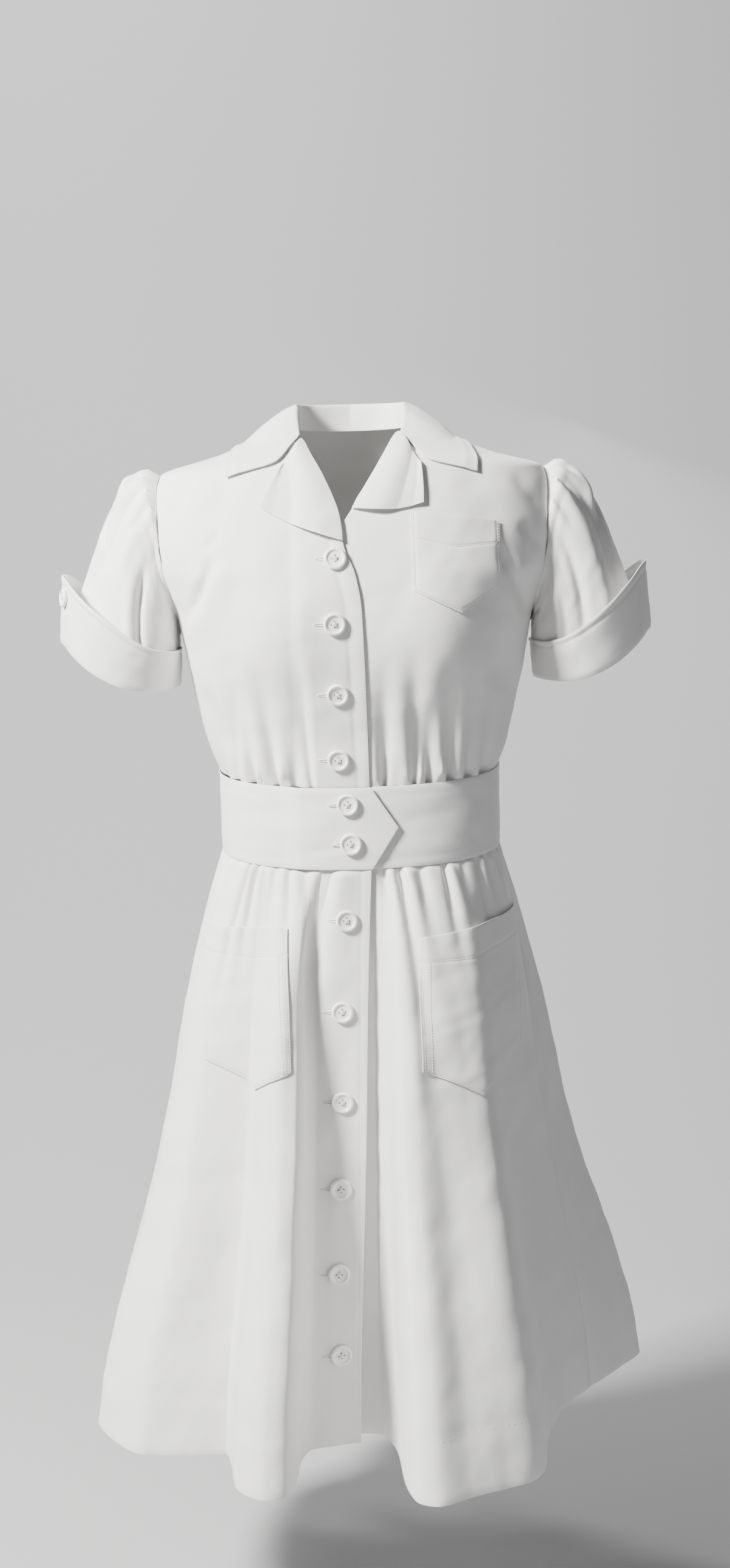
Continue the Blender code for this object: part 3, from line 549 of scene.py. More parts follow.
def back_relief(u, v, places):
    x, z = places[..., 0], places[..., 2]
    height = tuck_relief(BACK_TUCKS, x, z) + crease_relief(BACK_CREASES, x, z)
    height += BACK_SWELL * unevenness(x, z, BACK_SWELL_SIZE) + seam_dip(v * OVER_BELT, WAIST_DIP)
    height = height + seam_dip(u * BACK_ACROSS) + seam_dip((1.0 - u) * BACK_ACROSS)
    return height + seam_dip((1.0 - v) * BELOW_SHOULDER)


back_piece = lay_cloth(
    "bodice_back", 200, 80, raised(lambda u, v: bodice_form(*back_surface(u, v)), back_relief),
    CLOTH, (0.37, 0.34))
sew_in(back_piece, "bodice_back", 0.48, 0.144)

# Sleeves
# Short set-in sleeves of the same twill. Each is gathered over the top of the armhole, which makes
# its head rise a little, and widens down to the fold of its cuff.

SLEEVE_HEM_X, SLEEVE_HEM_Z = 0.2210, -0.2150
SLEEVE_HEM_HALF_WIDTH, SLEEVE_HEM_HALF_DEPTH = 0.0520, 0.056
SLEEVE_HEM_RISE, SLEEVE_HEM_SAG = 0.022, 0.017
SLEEVE_PUFF, FLANK_SWELL = 0.026, 0.006
PUFF_DIRECTION, FLANK_FLATNESS = (0.86, 0.0, 0.5), 0.25
SLEEVE_TUCK_IN = 0.3 * CLOTH
# A gather's width at the armhole and how it fans out, as shares, and the ridge beside it
GATHER_START, GATHER_FAN = 0.7, 2.2
GATHER_RIDGE, GATHER_RIDGE_PLACE, GATHER_RIDGE_WIDTH = 0.45, 1.9, 1.3
# The folds are calmer over the cuff, and a raised seam runs round the armhole
CUFF_CALM, CALM_SHARE = (0.66, 0.80), 0.85
ARMHOLE_RIDGE, RIDGE_START, RIDGE_END = 0.0024, (0.0, 0.014), (0.014, 0.060)
SLEEVE_SWELL, SLEEVE_SWELL_SIZE = 0.0008, 0.060

HEAD_GATHERS = (
    # share of the way round, reach down the sleeve, width in shares of the round, depth
    (-0.150, 0.30, 0.013, 0.0026),
    (-0.100, 0.45, 0.015, 0.0040),
    (-0.045, 0.30, 0.012, 0.0030),
    (0.010, 0.34, 0.012, 0.0036),
    (0.060, 0.24, 0.011, 0.0030),
    (0.112, 0.40, 0.014, 0.0044),
    (0.160, 0.26, 0.012, 0.0024),
)
SLEEVE_CREASES = {
    # from the share round and the share down, to the same, width in shares, height
    -1.0: (
        (0.122, 0.06, 0.132, 0.45, 0.016, -0.0040),
        (0.134, 0.30, 0.066, 0.95, 0.022, -0.0048),
        (0.022, 0.26, 0.078, 0.42, 0.026, -0.0046),
        (0.030, 0.06, 0.085, 0.20, 0.026, 0.0036),
        (0.230, 0.20, 0.350, 0.90, 0.015, -0.0042),
        (0.200, 0.25, 0.290, 0.85, 0.020, 0.0030),
        (0.175, 0.10, 0.190, 0.50, 0.014, 0.0022),
        (0.330, 0.72, 0.290, 0.99, 0.014, -0.0022),
        (0.620, 0.15, 0.660, 0.70, 0.020, -0.0036),
        (0.740, 0.30, 0.700, 0.92, 0.022, -0.0042),
        (0.840, 0.10, 0.790, 0.75, 0.022, -0.0046),
        (0.890, 0.25, 0.900, 0.80, 0.024, 0.0030),
    ),
    1.0: (
        (0.098, 0.05, 0.120, 0.70, 0.018, -0.0046),
        (0.118, 0.45, 0.088, 0.99, 0.020, -0.0030),
        (0.030, 0.22, 0.066, 0.40, 0.024, -0.0040),
        (0.056, 0.05, 0.070, 0.30, 0.022, 0.0036),
        (0.205, 0.12, 0.262, 0.80, 0.018, -0.0040),
        (0.160, 0.20, 0.190, 0.85, 0.022, 0.0030),
        (0.290, 0.35, 0.372, 0.92, 0.015, -0.0034),
        (0.240, 0.68, 0.300, 0.99, 0.014, 0.0020),
        (0.600, 0.20, 0.650, 0.80, 0.020, -0.0034),
        (0.720, 0.20, 0.690, 0.85, 0.022, -0.0044),
        (0.810, 0.12, 0.800, 0.80, 0.022, -0.0040),
        (0.880, 0.30, 0.910, 0.85, 0.024, 0.0028),
    ),
}


def sleeve_hem(cosine, sine):
    """Fold at the foot of a sleeve. cosine is 1 at the outer side, sine is 1 at the front."""
    x = SLEEVE_HEM_X + SLEEVE_HEM_HALF_WIDTH * cosine
    y = -SLEEVE_HEM_HALF_DEPTH * sine
    z = SLEEVE_HEM_Z + SLEEVE_HEM_RISE * cosine - SLEEVE_HEM_SAG * sine * sine
    return np.stack([x, y, z], axis=-1)


def sleeve_form(turn, down):
    """Left sleeve: turn 0 at the top, 0.25 at the front, 0.5 under the arm; down from 0 to 1."""
    turn = np.mod(turn, 1.0)
    angle, z = armhole(np.where(turn <= 0.5, 2.0 * turn, 2.0 * (1.0 - turn)))
    angle = np.where(turn <= 0.5, angle, 180.0 - angle)
    normal = torso_normal(angle, z)
    steep = np.abs(normal[..., 0])[..., None]
    start = torso_ring(angle, z) - normal * SLEEVE_TUCK_IN
    start[..., 0] += SLEEVE_TUCK_IN * steep[..., 0]
    cosine, sine = np.cos(2.0 * np.pi * turn), np.sin(2.0 * np.pi * turn)
    down = down[..., None]
    places = start + (sleeve_hem(cosine, sine) - start) * down
    top = np.maximum(cosine, 0.0)[..., None]
    swell = SLEEVE_PUFF * top ** 1.2 * np.sin(np.pi * np.maximum(down, 1e-6) ** 0.42)
    swell = swell + FLANK_SWELL * (1.0 - top) * np.sin(np.pi * down) * np.abs(sine)[..., None]
    flat = np.stack([FLANK_FLATNESS * cosine, -sine, 0.0 * sine], axis=-1)
    direction = unit(np.array(PUFF_DIRECTION) * top + flat * (1.0 - top))
    return places + direction * swell


def sleeve_relief(turn, down, side):
    """Gathers of the head, listed creases and the raised seam round the armhole."""
    variant = 0.5 + 0.5 * side
    signed = np.mod(turn + 0.5, 1.0) - 0.5
    height = np.zeros_like(turn)
    for share, reach, width, depth in HEAD_GATHERS:
        fade = np.clip(1.0 - down / (reach * (1.0 + 0.15 * variant)), 0.0, 1.0) ** 1.3
        spread = width * (GATHER_START + GATHER_FAN * down)
        height -= depth * fade * hill(signed, share * (1.0 + 0.04 * variant), spread)
        ridge = hill(signed - share, GATHER_RIDGE_PLACE * spread, GATHER_RIDGE_WIDTH * spread)
        height += GATHER_RIDGE * depth * fade * ridge
    height *= soft_step(down, 0.0, 0.035)
    height += crease_relief(SLEEVE_CREASES[side], np.mod(turn, 1.0), down)
    height += SLEEVE_SWELL * unevenness(turn * 0.36 + variant, down * 0.17, SLEEVE_SWELL_SIZE)
    height *= 1.0 - CALM_SHARE * soft_step(down, *CUFF_CALM)
    ridge = ARMHOLE_RIDGE * soft_step(down, *RIDGE_START) * (1.0 - soft_step(down, *RIDGE_END))
    return height * soft_step(down, 0.0, 0.02) + ridge


def side_of(places, side):
    return places * np.array((side, 1.0, 1.0))


for label, side in (("right", -1.0), ("left", 1.0)):
    def form(u, v, side=side):
        return side_of(sleeve_form(u if side < 0.0 else 1.0 - u, 1.0 - v), side)

    def relief(u, v, places, side=side):
        return sleeve_relief(u if side < 0.0 else 1.0 - u, 1.0 - v, side)

    sleeve = lay_cloth(
        "sleeve_" + label, 170, 80, raised(form, relief), CLOTH, (0.38, 0.17), closed=True)
    sew_in(sleeve, "sleeve_" + label, 0.42, 0.062)

# Cuffs
# A straight band turned up over each sleeve. It rises to a peak at the outer side, where its front
# end laps over its back end and is held by one button.

CUFF_LOW, CUFF_HIGH = 0.036, 0.066
CUFF_FLARE = 0.018
CUFF_OVERLAP = 0.045
CUFF_START = -0.040
CUFF_ROUND = 0.36
CUFF_LAYER, CUFF_CLEARANCE = 0.0026, 0.0009
CUFF_SWELL, CUFF_SWELL_SIZE, CUFF_WAVE = 0.0005, 0.05, 0.0022
# The seam allowance inside the free edge: a ridge and the groove under it, as share, width, height
CUFF_EDGE_RIDGE, CUFF_EDGE_GROOVE = (0.955, 0.030, 0.0007), (0.87, 0.03, 0.0005)
cuff_surfaces = {}


def cuff_form(turn, up, layer):
    """Left cuff: up from the fold, 0, to its free edge, 1; layer moves the lapping end out."""
    round_turn = np.mod(turn, 1.0)
    cosine, sine = np.cos(2.0 * np.pi * turn), np.sin(2.0 * np.pi * turn)
    peak = (0.5 + 0.5 * cosine) ** 1.5
    height = CUFF_LOW + (CUFF_HIGH - CUFF_LOW) * peak
    whole_length = sleeve_form(round_turn, 0.0 * up) - sleeve_form(round_turn, 0.0 * up + 1.0)
    length = np.linalg.norm(whole_length, axis=-1)
    places = sleeve_form(round_turn, 1.0 - height * up / length)
    stand_off = 0.5 * (CLOTH + FACED_CLOTH) + CUFF_CLEARANCE * soft_step(up, 0.0, 0.1)
    stand_off = stand_off + CUFF_FLARE * peak * up + layer
    return places + np.stack([cosine, -sine, 0.0 * sine], axis=-1) * stand_off[..., None]


def cuff_relief(u, v, variant):
    height = CUFF_SWELL * unevenness(u * 0.38 + variant, v * 0.05, CUFF_SWELL_SIZE)
    for (share, width, rise), way in ((CUFF_EDGE_RIDGE, 1.0), (CUFF_EDGE_GROOVE, -1.0)):
        height += way * rise * hill(v, share, width)
    height += CUFF_WAVE * np.sin(2.0 * np.pi * (3.0 * u + 0.2 * variant)) * v ** 1.5 * np.sin(np.pi * u)
    return height


for label, side, variant in (("right", -1.0, 0.0), ("left", 1.0, 1.0)):
    def form(u, v, side=side):
        share = u if side < 0.0 else 1.0 - u
        turn = CUFF_START + share * (1.0 + CUFF_OVERLAP)
        layer = CUFF_LAYER * (1.0 - soft_step(share, CUFF_OVERLAP, 2.2 * CUFF_OVERLAP))
        return side_of(cuff_form(turn, v, layer), side)

    def relief(u, v, places, variant=variant):
        return cuff_relief(u, v, variant)

    cuff_surfaces[side] = raised(form, relief)
    cuff = lay_cloth("cuff_" + label, 170, 30, cuff_surfaces[side], FACED_CLOTH, (0.38, 0.05))
    sew_in(cuff, "cuff_" + label, 0.39, 0.0195)

# Belt
# A wide waistband-belt of two layers with a firm interlining, smooth and a little padded. Its right
# front end is cut to a point, laps over the left end and closes with two buttons.

BELT_THICKNESS = 0.0030
BELT_POINT_START, BELT_POINT_X, BELT_UNDERLAP_X = 0.010, 0.034, -0.036
BELT_MIDDLE_Z = -0.360
BELT_STEP = BELT_THICKNESS + 0.0006
SIDE_GAP = 0.06
BELT_LAP_X = (-0.074, -0.052)
BELT_PADDING, BELT_PADDING_REACH = 0.0006, 0.006
BELT_GROOVE, BELT_GROOVE_WIDTH, BELT_GROOVE_DEPTH = 0.0085, 0.0020, 0.0004
BELT_SWELL, BELT_SWELL_SIZE = 0.0004, 0.06

BELT_CREASES = (
    # from x, z, to x, z, width, height
    (-0.020, -0.341, -0.062, -0.336, 0.0050, -0.0007),
    (-0.018, -0.379, -0.058, -0.384, 0.0050, -0.0008),
    (-0.024, -0.360, -0.088, -0.364, 0.0085, 0.0007),
    (0.034, -0.360, 0.092, -0.352, 0.0070, -0.0007),
    (0.040, -0.382, 0.104, -0.388, 0.0080, 0.0006),
    (-0.072, -0.345, -0.118, -0.352, 0.0080, -0.0006),
    (0.070, -0.340, 0.122, -0.344, 0.0070, -0.0006),
)


def belt_form(angle, share, out=0.0):
    z = waist_height(angle) - BELT_HEIGHT * share
    return torso_ring(angle, z) + torso_normal(angle, z) * (0.0 * z + out)[..., None]


def belt_relief(u, v, places):
    """Padding that eases off to the turned edges, with short pulls towards the buttons."""
    from_edge = np.minimum(v, 1.0 - v) * BELT_HEIGHT
    height = BELT_PADDING * soft_step(from_edge, 0.0, BELT_PADDING_REACH)
    height += BELT_SWELL * unevenness(places[..., 0] * 0.5, v * 0.07, BELT_SWELL_SIZE)
    height -= BELT_GROOVE_DEPTH * hill(from_edge, BELT_GROOVE, BELT_GROOVE_WIDTH)
    return height + crease_relief(BELT_CREASES, places[..., 0], places[..., 2]) * (places[..., 1] < 0.0)


def belt_right_front(u, v):
    share = 1.0 - v
    edge_x = BELT_POINT_START + (BELT_POINT_X - BELT_POINT_START) * (1.0 - np.abs(2.0 * share - 1.0))
    edge = front_angle(edge_x, np.full_like(edge_x, BELT_MIDDLE_Z))
    angle = -90.0 + SIDE_GAP + (edge + 90.0 - SIDE_GAP) * u
    x = torso_ring(angle, np.full_like(angle, BELT_MIDDLE_Z))[..., 0]
    return belt_form(angle, share, BELT_STEP * soft_step(x, *BELT_LAP_X))


def belt_left_front(u, v):
    edge = front_angle(np.array(BELT_UNDERLAP_X), np.array(BELT_MIDDLE_Z))
    return belt_form(edge + (90.0 - SIDE_GAP - edge) * u, 1.0 - v)


for name, form, columns, width, area in (
        ("belt_front_right", belt_right_front, 120, 0.208, 0.0155),
        ("belt_front_left", belt_left_front, 100, 0.222, 0.0165),
        ("belt_back", lambda u, v: belt_form(90.0 + SIDE_GAP + (180.0 - 2.0 * SIDE_GAP) * u, 1.0 - v),
         140, 0.352, 0.0262)):
    belt_piece = lay_cloth(
        name, columns, 28, raised(form, belt_relief), BELT_THICKNESS, (width, BELT_HEIGHT))
    sew_in(belt_piece, name, width, area)

# Skirt
# Two fronts and a back, flared and gathered into the belt's lower edge. It hangs in deep soft folds,
# and is finished with a wide turned-up hem held by a row of small stitches.

HEM_Z = -0.940
HEM_DEPTH = 0.055
SKIRT_LENGTH = 0.545
SKIRT_SEAM = 0.0006
SKIRT_LAP_X = (-0.058, -0.040)
FRONT_AROUND, BACK_AROUND = 0.36, 0.70
# A gather widens as it falls, by this share, and the ridge beside it is given as shares of it
GATHER_WIDENING = 1.6
FOLD_RIDGE, FOLD_RIDGE_PLACE, FOLD_RIDGE_WIDTH = 0.5, 2.0, 1.5
# Broad and fine swell of the panels, as height and size, and the calm strip along the side seams
BROAD_SWELL, BROAD_SWELL_SIZE, FINE_SWELL, FINE_SWELL_SIZE = 0.0011, 0.110, 0.0004, 0.045
SIDE_CALM = 0.014
HEM_LINE_WIDTH, HEM_LINE_DEPTH, HEM_THINNING = 0.0016, 0.0005, 0.0002
FLARE = (
    # share of the way down, share of the flare
    (0.00, 0.00),
    (0.09, 0.12),
    (0.25, 0.29),
    (0.45, 0.455),
    (0.60, 0.61),
    (0.75, 0.79),
    (0.90, 0.94),
    (1.00, 1.00),
)
RIGHT_SKIRT = (
    # share of the way round, angle at the belt, hem x, hem y
    (0.00, 2.6, -0.015, -0.115),
    (0.10, -6.0, -0.038, -0.121),
    (0.20, -13.5, -0.060, -0.127),
    (0.27, -16.0, -0.070, -0.150),
    (0.34, -18.0, -0.073, -0.185),
    (0.41, -20.5, -0.084, -0.214),
    (0.46, -23.0, -0.099, -0.217),
    (0.54, -29.0, -0.126, -0.194),
    (0.61, -35.0, -0.133, -0.152),
    (0.66, -40.0, -0.140, -0.131),
    (0.72, -46.0, -0.165, -0.132),
    (0.80, -55.0, -0.214, -0.128),
    (0.89, -67.0, -0.267, -0.058),
    (1.00, -90.0, -0.266, 0.000),
)
LEFT_SKIRT = (
    # share of the way round, angle at the belt, hem x, hem y
    (0.00, -14.0, -0.052, -0.103),
    (0.10, -4.0, -0.020, -0.098),
    (0.18, 2.5, 0.004, -0.100),
    (0.25, 5.5, 0.020, -0.136),
    (0.32, 8.0, 0.026, -0.196),
    (0.38, 10.5, 0.038, -0.230),
    (0.43, 13.5, 0.053, -0.235),
    (0.51, 21.0, 0.083, -0.220),
    (0.59, 28.5, 0.112, -0.208),
    (0.68, 36.0, 0.139, -0.195),
    (0.73, 41.0, 0.152, -0.172),
    (0.80, 48.5, 0.158, -0.125),
    (0.89, 64.0, 0.180, -0.058),
    (1.00, 90.0, 0.213, -0.012),
)
BACK_SKIRT = (
    # share of the way round, angle at the belt, hem x, hem y
    (0.00, 90.0, 0.213, -0.012),
    (0.06, 97.0, 0.246, 0.028),
    (0.12, 105.0, 0.272, 0.066),
    (0.19, 113.0, 0.236, 0.104),
    (0.25, 122.0, 0.170, 0.112),
    (0.33, 135.0, 0.146, 0.172),
    (0.40, 147.0, 0.088, 0.160),
    (0.48, 161.0, 0.064, 0.222),
    (0.55, 174.0, 0.008, 0.174),
    (0.63, 190.0, -0.052, 0.226),
    (0.70, 203.0, -0.082, 0.166),
    (0.78, 219.0, -0.152, 0.184),
    (0.85, 235.0, -0.172, 0.116),
    (0.92, 252.0, -0.240, 0.088),
    (1.00, 270.0, -0.266, 0.000),
)
RIGHT_GATHERS = (
    # angle at the belt, reach down, depth, lean and width in degrees
    (-10.5, 0.270, 0.0062, -10.0, 2.4),
    (-19.0, 0.090, 0.0016, -2.0, 1.6),
    (-27.2, 0.125, 0.0042, 4.0, 1.4),
    (-33.5, 0.150, 0.0028, -1.0, 1.8),
    (-43.6, 0.140, 0.0050, -4.0, 1.2),
    (-48.8, 0.170, 0.0058, -6.5, 1.1),
    (-59.0, 0.080, 0.0024, -3.0, 1.6),
    (-68.0, 0.115, 0.0040, -3.0, 1.5),
    (-80.0, 0.070, 0.0028, -2.0, 1.5),
)
LEFT_GATHERS = (
    # angle at the belt, reach down, depth, lean and width in degrees
    (6.0, 0.100, 0.0045, 4.0, 1.2),
    (11.8, 0.220, 0.0066, 8.0, 1.5),
    (20.5, 0.140, 0.0028, 3.0, 1.8),
    (31.6, 0.115, 0.0046, 2.5, 1.3),
    (41.5, 0.050, 0.0016, 1.0, 1.5),
    (51.3, 0.100, 0.0048, 3.0, 1.3),
    (59.0, 0.056, 0.0050, 2.5, 1.2),
    (70.6, 0.050, 0.0042, 1.5, 1.4),
    (82.0, 0.060, 0.0026, 1.0, 1.4),
)
BACK_GATHERS = (
    # angle at the belt, reach down, depth, lean and width in degrees
    (97.0, 0.080, 0.0030, 1.0, 1.4),
    (106.0, 0.120, 0.0046, 3.0, 1.3),
    (113.0, 0.070, 0.0030, 1.5, 1.4),
    (121.5, 0.150, 0.0056, 4.0, 1.3),
    (131.0, 0.090, 0.0036, 2.0, 1.5),
    (141.5, 0.200, 0.0062, 5.0, 1.8),
    (150.0, 0.080, 0.0030, 1.0, 1.4),
    (158.0, 0.140, 0.0050, 2.0, 1.4),
    (168.5, 0.100, 0.0040, 1.0, 1.6),
    (179.0, 0.210, 0.0060, -2.0, 2.0),
    (187.0, 0.080, 0.0034, -0.5, 1.4),
    (196.0, 0.130, 0.0050, -1.5, 1.4),
    (206.5, 0.090, 0.0036, -1.5, 1.6),
    (216.0, 0.180, 0.0060, -4.0, 1.7),
    (225.0, 0.080, 0.0032, -2.0, 1.4),
    (234.0, 0.140, 0.0054, -3.5, 1.3),
    (243.0, 0.090, 0.0036, -2.0, 1.5),
    (253.0, 0.120, 0.0046, -2.0, 1.3),
    (263.5, 0.070, 0.0028, -1.0, 1.4),
)
RIGHT_SKIRT_CREASES = (
    # from x, z, to x, z, width, height
    (-0.070, -0.450, -0.094, -0.640, 0.011, 0.0030),
    (-0.050, -0.430, -0.060, -0.560, 0.010, -0.0026),
    (-0.118, -0.620, -0.156, -0.860, 0.018, -0.0030),
    (-0.160, -0.600, -0.205, -0.880, 0.020, 0.0030),
    (-0.195, -0.660, -0.238, -0.900, 0.016, -0.0022),
    (-0.028, -0.480, -0.036, -0.700, 0.013, -0.0016),
    (-0.082, -0.700, -0.090, -0.930, 0.010, 0.0016),
)
LEFT_SKIRT_CREASES = (
    # from x, z, to x, z, width, height
    (0.030, -0.430, 0.042, -0.640, 0.010, 0.0026),
    (0.018, -0.430, 0.012, -0.600, 0.008, -0.0022),
    (0.062, -0.640, 0.078, -0.900, 0.018, -0.0028),
    (0.098, -0.620, 0.112, -0.880, 0.018, 0.0024),
    (0.135, -0.640, 0.150, -0.800, 0.014, -0.0022),
    (0.160, -0.500, 0.188, -0.700, 0.014, 0.0022),
    (0.150, -0.640, 0.196, -0.860, 0.012, -0.0026),
)
BACK_SKIRT_CREASES = (
    # from x, z, to x, z, width, height
    (0.120, -0.450, 0.180, -0.700, 0.016, 0.0030),
    (0.070, -0.440, 0.098, -0.660, 0.013, -0.0030),
    (0.030, -0.480, 0.040, -0.760, 0.016, 0.0026),
    (-0.012, -0.440, -0.020, -0.650, 0.012, -0.0026),
    (-0.060, -0.460, -0.088, -0.700, 0.015, 0.0030),
    (-0.110, -0.450, -0.150, -0.720, 0.015, -0.0030),
    (-0.160, -0.560, -0.215, -0.860, 0.016, 0.0026),
    (0.190, -0.620, 0.236, -0.900, 0.016, -0.0026),
)
flare_share = smooth_curve(FLARE)


def skirt_form(rows, lap):
    """A function (t, s) to places: t goes round as the rows do, s from the belt down to the hem."""
    guides = smooth_curve(rows)

    def at(t, s):
        angle, hem_x, hem_y = np.moveaxis(guides(t), -1, 0)
        top_z = waist_height(angle) - BELT_HEIGHT - SEAM
        top = torso_ring(angle, top_z)
        if lap:
            out = LAP * soft_step(top[..., 0], *SKIRT_LAP_X)
            top = top + torso_normal(angle, top_z) * out[..., None]
        flare = flare_share(s)[..., 0]
        x = top[..., 0] + (hem_x - top[..., 0]) * flare
        y = top[..., 1] + (hem_y - top[..., 1]) * flare
        return np.stack([x, y, top_z + (HEM_Z - top_z) * s], axis=-1)
    return at


def skirt_folds(rows, gathers, creases, facing):
    """Gathers under the belt, the main listed creases, the hem's fold and the seams at the sides."""
    guides = smooth_curve(rows)

    def at(t, s, places):
        angle = guides(t)[..., 0]
        down = s * SKIRT_LENGTH
        from_seam = (1.0 - t) * FRONT_AROUND if facing < 2.0 else np.minimum(t, 1.0 - t) * BACK_AROUND
        height = np.zeros_like(t)
        for place, reach, depth, lean, narrow in gathers:
            fall = np.clip(down / reach, 0.0, 1.0)
            offset = angle - place - lean * fall ** 0.7
            width = narrow * (1.0 + GATHER_WIDENING * fall ** 0.8)
            fade = (1.0 - fall) ** 1.3 * soft_step(down, -0.003, 0.006)
            height -= depth * fade * hill(offset, 0.0, width)
            height += FOLD_RIDGE * depth * fade * hill(
                offset, FOLD_RIDGE_PLACE * width, FOLD_RIDGE_WIDTH * width)
        height += crease_relief(creases, places[..., 0], places[..., 2])
        broad = unevenness(places[..., 0] + 2.0 * facing, places[..., 2], BROAD_SWELL_SIZE)
        height += BROAD_SWELL * broad * soft_step(s, 0.0, 0.2)
        height += FINE_SWELL * unevenness(places[..., 0] + facing, places[..., 2], FINE_SWELL_SIZE)
        height *= soft_step(from_seam, 0.0, SIDE_CALM)
        hem_line = (places[..., 2] - HEM_Z - HEM_DEPTH) / HEM_LINE_WIDTH
        height -= HEM_LINE_DEPTH * np.exp(-hem_line ** 2) - HEM_THINNING * soft_step(-hem_line, 0.0, 1.0)
        return height + seam_dip(down, WAIST_DIP)
    return at


right_form = skirt_form(RIGHT_SKIRT, True)
left_form = skirt_form(LEFT_SKIRT, False)
back_form = skirt_form(BACK_SKIRT, False)
right_folds = skirt_folds(RIGHT_SKIRT, RIGHT_GATHERS, RIGHT_SKIRT_CREASES, 0.0)
left_folds = skirt_folds(LEFT_SKIRT, LEFT_GATHERS, LEFT_SKIRT_CREASES, 1.0)
back_folds = skirt_folds(BACK_SKIRT, BACK_GATHERS, BACK_SKIRT_CREASES, 2.0)


EDGE_CALM, EDGE_WAVE, EDGE_WAVE_REACH = 0.012, 0.0016, 0.010
FRONT_SEAM_RUN, BACK_SEAM_RUN = 0.30, 0.6


def right_relief(t, s, places):
    """The folds, the line of stitches along the front edge, and the edge's slight waviness."""
    from_edge = t * FRONT_SEAM_RUN * (0.6 + 0.6 * s)
    height = right_folds(t, s, places) * soft_step(from_edge, 0.0, EDGE_CALM)
    height = height + seam_dip((1.0 - t) * FRONT_SEAM_RUN)
    height -= EDGE_GROOVE_DEPTH * hill(from_edge, EDGE_GROOVE, EDGE_GROOVE_WIDTH)
    phase = 2.0 * np.pi * (7.1 * s + 0.3 * np.sin(9.0 * s))
    wave = EDGE_WAVE * np.sin(phase) * soft_step(s, 0.05, 0.2)
    return height + (EDGE_RIDGE_HEIGHT + 0.5 * np.abs(wave)) * hill(from_edge, 0.0, EDGE_WAVE_REACH)


def left_relief(t, s, places):
    return left_folds(t, s, places) * soft_step(t, 0.16, 0.24) + seam_dip((1.0 - t) * FRONT_SEAM_RUN)


def back_skirt_relief(t, s, places):
    seams = seam_dip(t * BACK_SEAM_RUN), seam_dip((1.0 - t) * BACK_SEAM_RUN)
    return back_folds(t, s, places) + seams[0] + seams[1]


def hang(form, relief, mirrored):
    """Lays a panel so that its outside faces out; mirrored where its rows run towards -X."""
    def turned(u):
        return 1.0 - u if mirrored else u
    return raised(
        lambda u, v: form(turned(u), 1.0 - v), lambda u, v, places: relief(turned(u), 1.0 - v, places))


raised_right = hang(right_form, right_relief, True)
raised_left = hang(left_form, left_relief, False)
raised_back = hang(back_form, back_skirt_relief, False)
for name, panel, start, end, columns, rows, around, width, area in (
        ("skirt_front_right", raised_right, SKIRT_SEAM, 1.0, 210, 100, 0.36, 0.46, 0.19),
        ("skirt_front_left", raised_left, 0.0, 1.0 - SKIRT_SEAM, 210, 100, 0.40, 0.50, 0.21),
        ("skirt_back", raised_back, SKIRT_SEAM, 1.0 - SKIRT_SEAM, 250, 84, 0.70, 0.90, 0.38)):
    def place(u, v, panel=panel, start=start, end=end):
        """Rows lie closer together towards the belt, where the gathers are."""
        return panel(start + u * (end - start), 1.0 - (1.0 - v) ** 1.3)

    skirt_piece = lay_cloth(name, columns, rows, place, CLOTH, (around, 0.56))
    sew_in(skirt_piece, name, width, area)

# Pockets
# Three patch pockets with pointed feet: a single layer of the same twill with a 27 mm hem across
# the top, pressed under at the edges and topstitched down close to the edge.

BREAST_POCKET = (
    # x of the left side, x of the right side, z of the top, z at the corners, z of the point, slant
    0.051, 0.130, -0.087, -0.151, -0.171, -0.005)
HIP_POCKETS = {
    "right": (-0.150, -0.068, -0.455, -0.577, -0.601, 0.003),
    "left": (0.049, 0.146, -0.458, -0.578, -0.606, 0.005),
}
POCKET_RISE = CLOTH + 0.0004
POCKET_HEM = 0.027
# Padding that eases off to the edges, grooves along the stitching and the hem, and the mouth's pout
POCKET_PADDING, POCKET_PADDING_REACH = 0.0007, 0.006
POCKET_GROOVE, POCKET_GROOVE_WIDTH, POCKET_GROOVE_DEPTH = 0.0022, 0.0009, 0.0004
HEM_GROOVE_WIDTH, HEM_GROOVE_DEPTH = 0.0012, 0.0006
MOUTH_POUT, MOUTH_POUT_REACH = 0.0016, 0.012
POCKET_SWELL, POCKET_SWELL_SIZE = 0.0004, 0.050


def pocket_shape(sizes):
    """A function (u, v) to x and z on a pocket with a pointed foot."""
    left, right, top, corner, point, slant = sizes

    def at(u, v):
        head = top + slant * (u - 0.5) * 2.0
        foot = corner + (point - corner) * (1.0 - np.abs(2.0 * u - 1.0))
        return left + (right - left) * u, foot + (head - foot) * v
    return at


def find_on_skirt(form, x, z):
    """t and s of the skirt places at these x and z, by halving t."""
    low, high = np.zeros_like(x), np.ones_like(x)
    rising = form(high, high * 0.3)[..., 0] > form(low, low + 0.3)[..., 0]
    for _ in range(30):
        t = 0.5 * (low + high)
        top_z = form(t, 0.0 * t)[..., 2]
        s = (top_z - z) / (top_z - HEM_Z)
        before = (form(t, s)[..., 0] < x) == rising
        low, high = np.where(before, t, low), np.where(before, high, t)
    return t, s


def on_bodice(x, z, out):
    """Places over the raised front of the bodice at x and z."""
    return front_form(x, z, front_folds(x, z) + front_lap(x, z) * (x < 0.009) + out)


def on_right_skirt(x, z, out):
    t, s = find_on_skirt(right_form, x, z)
    return raised_right(1.0 - t, 1.0 - s, out)


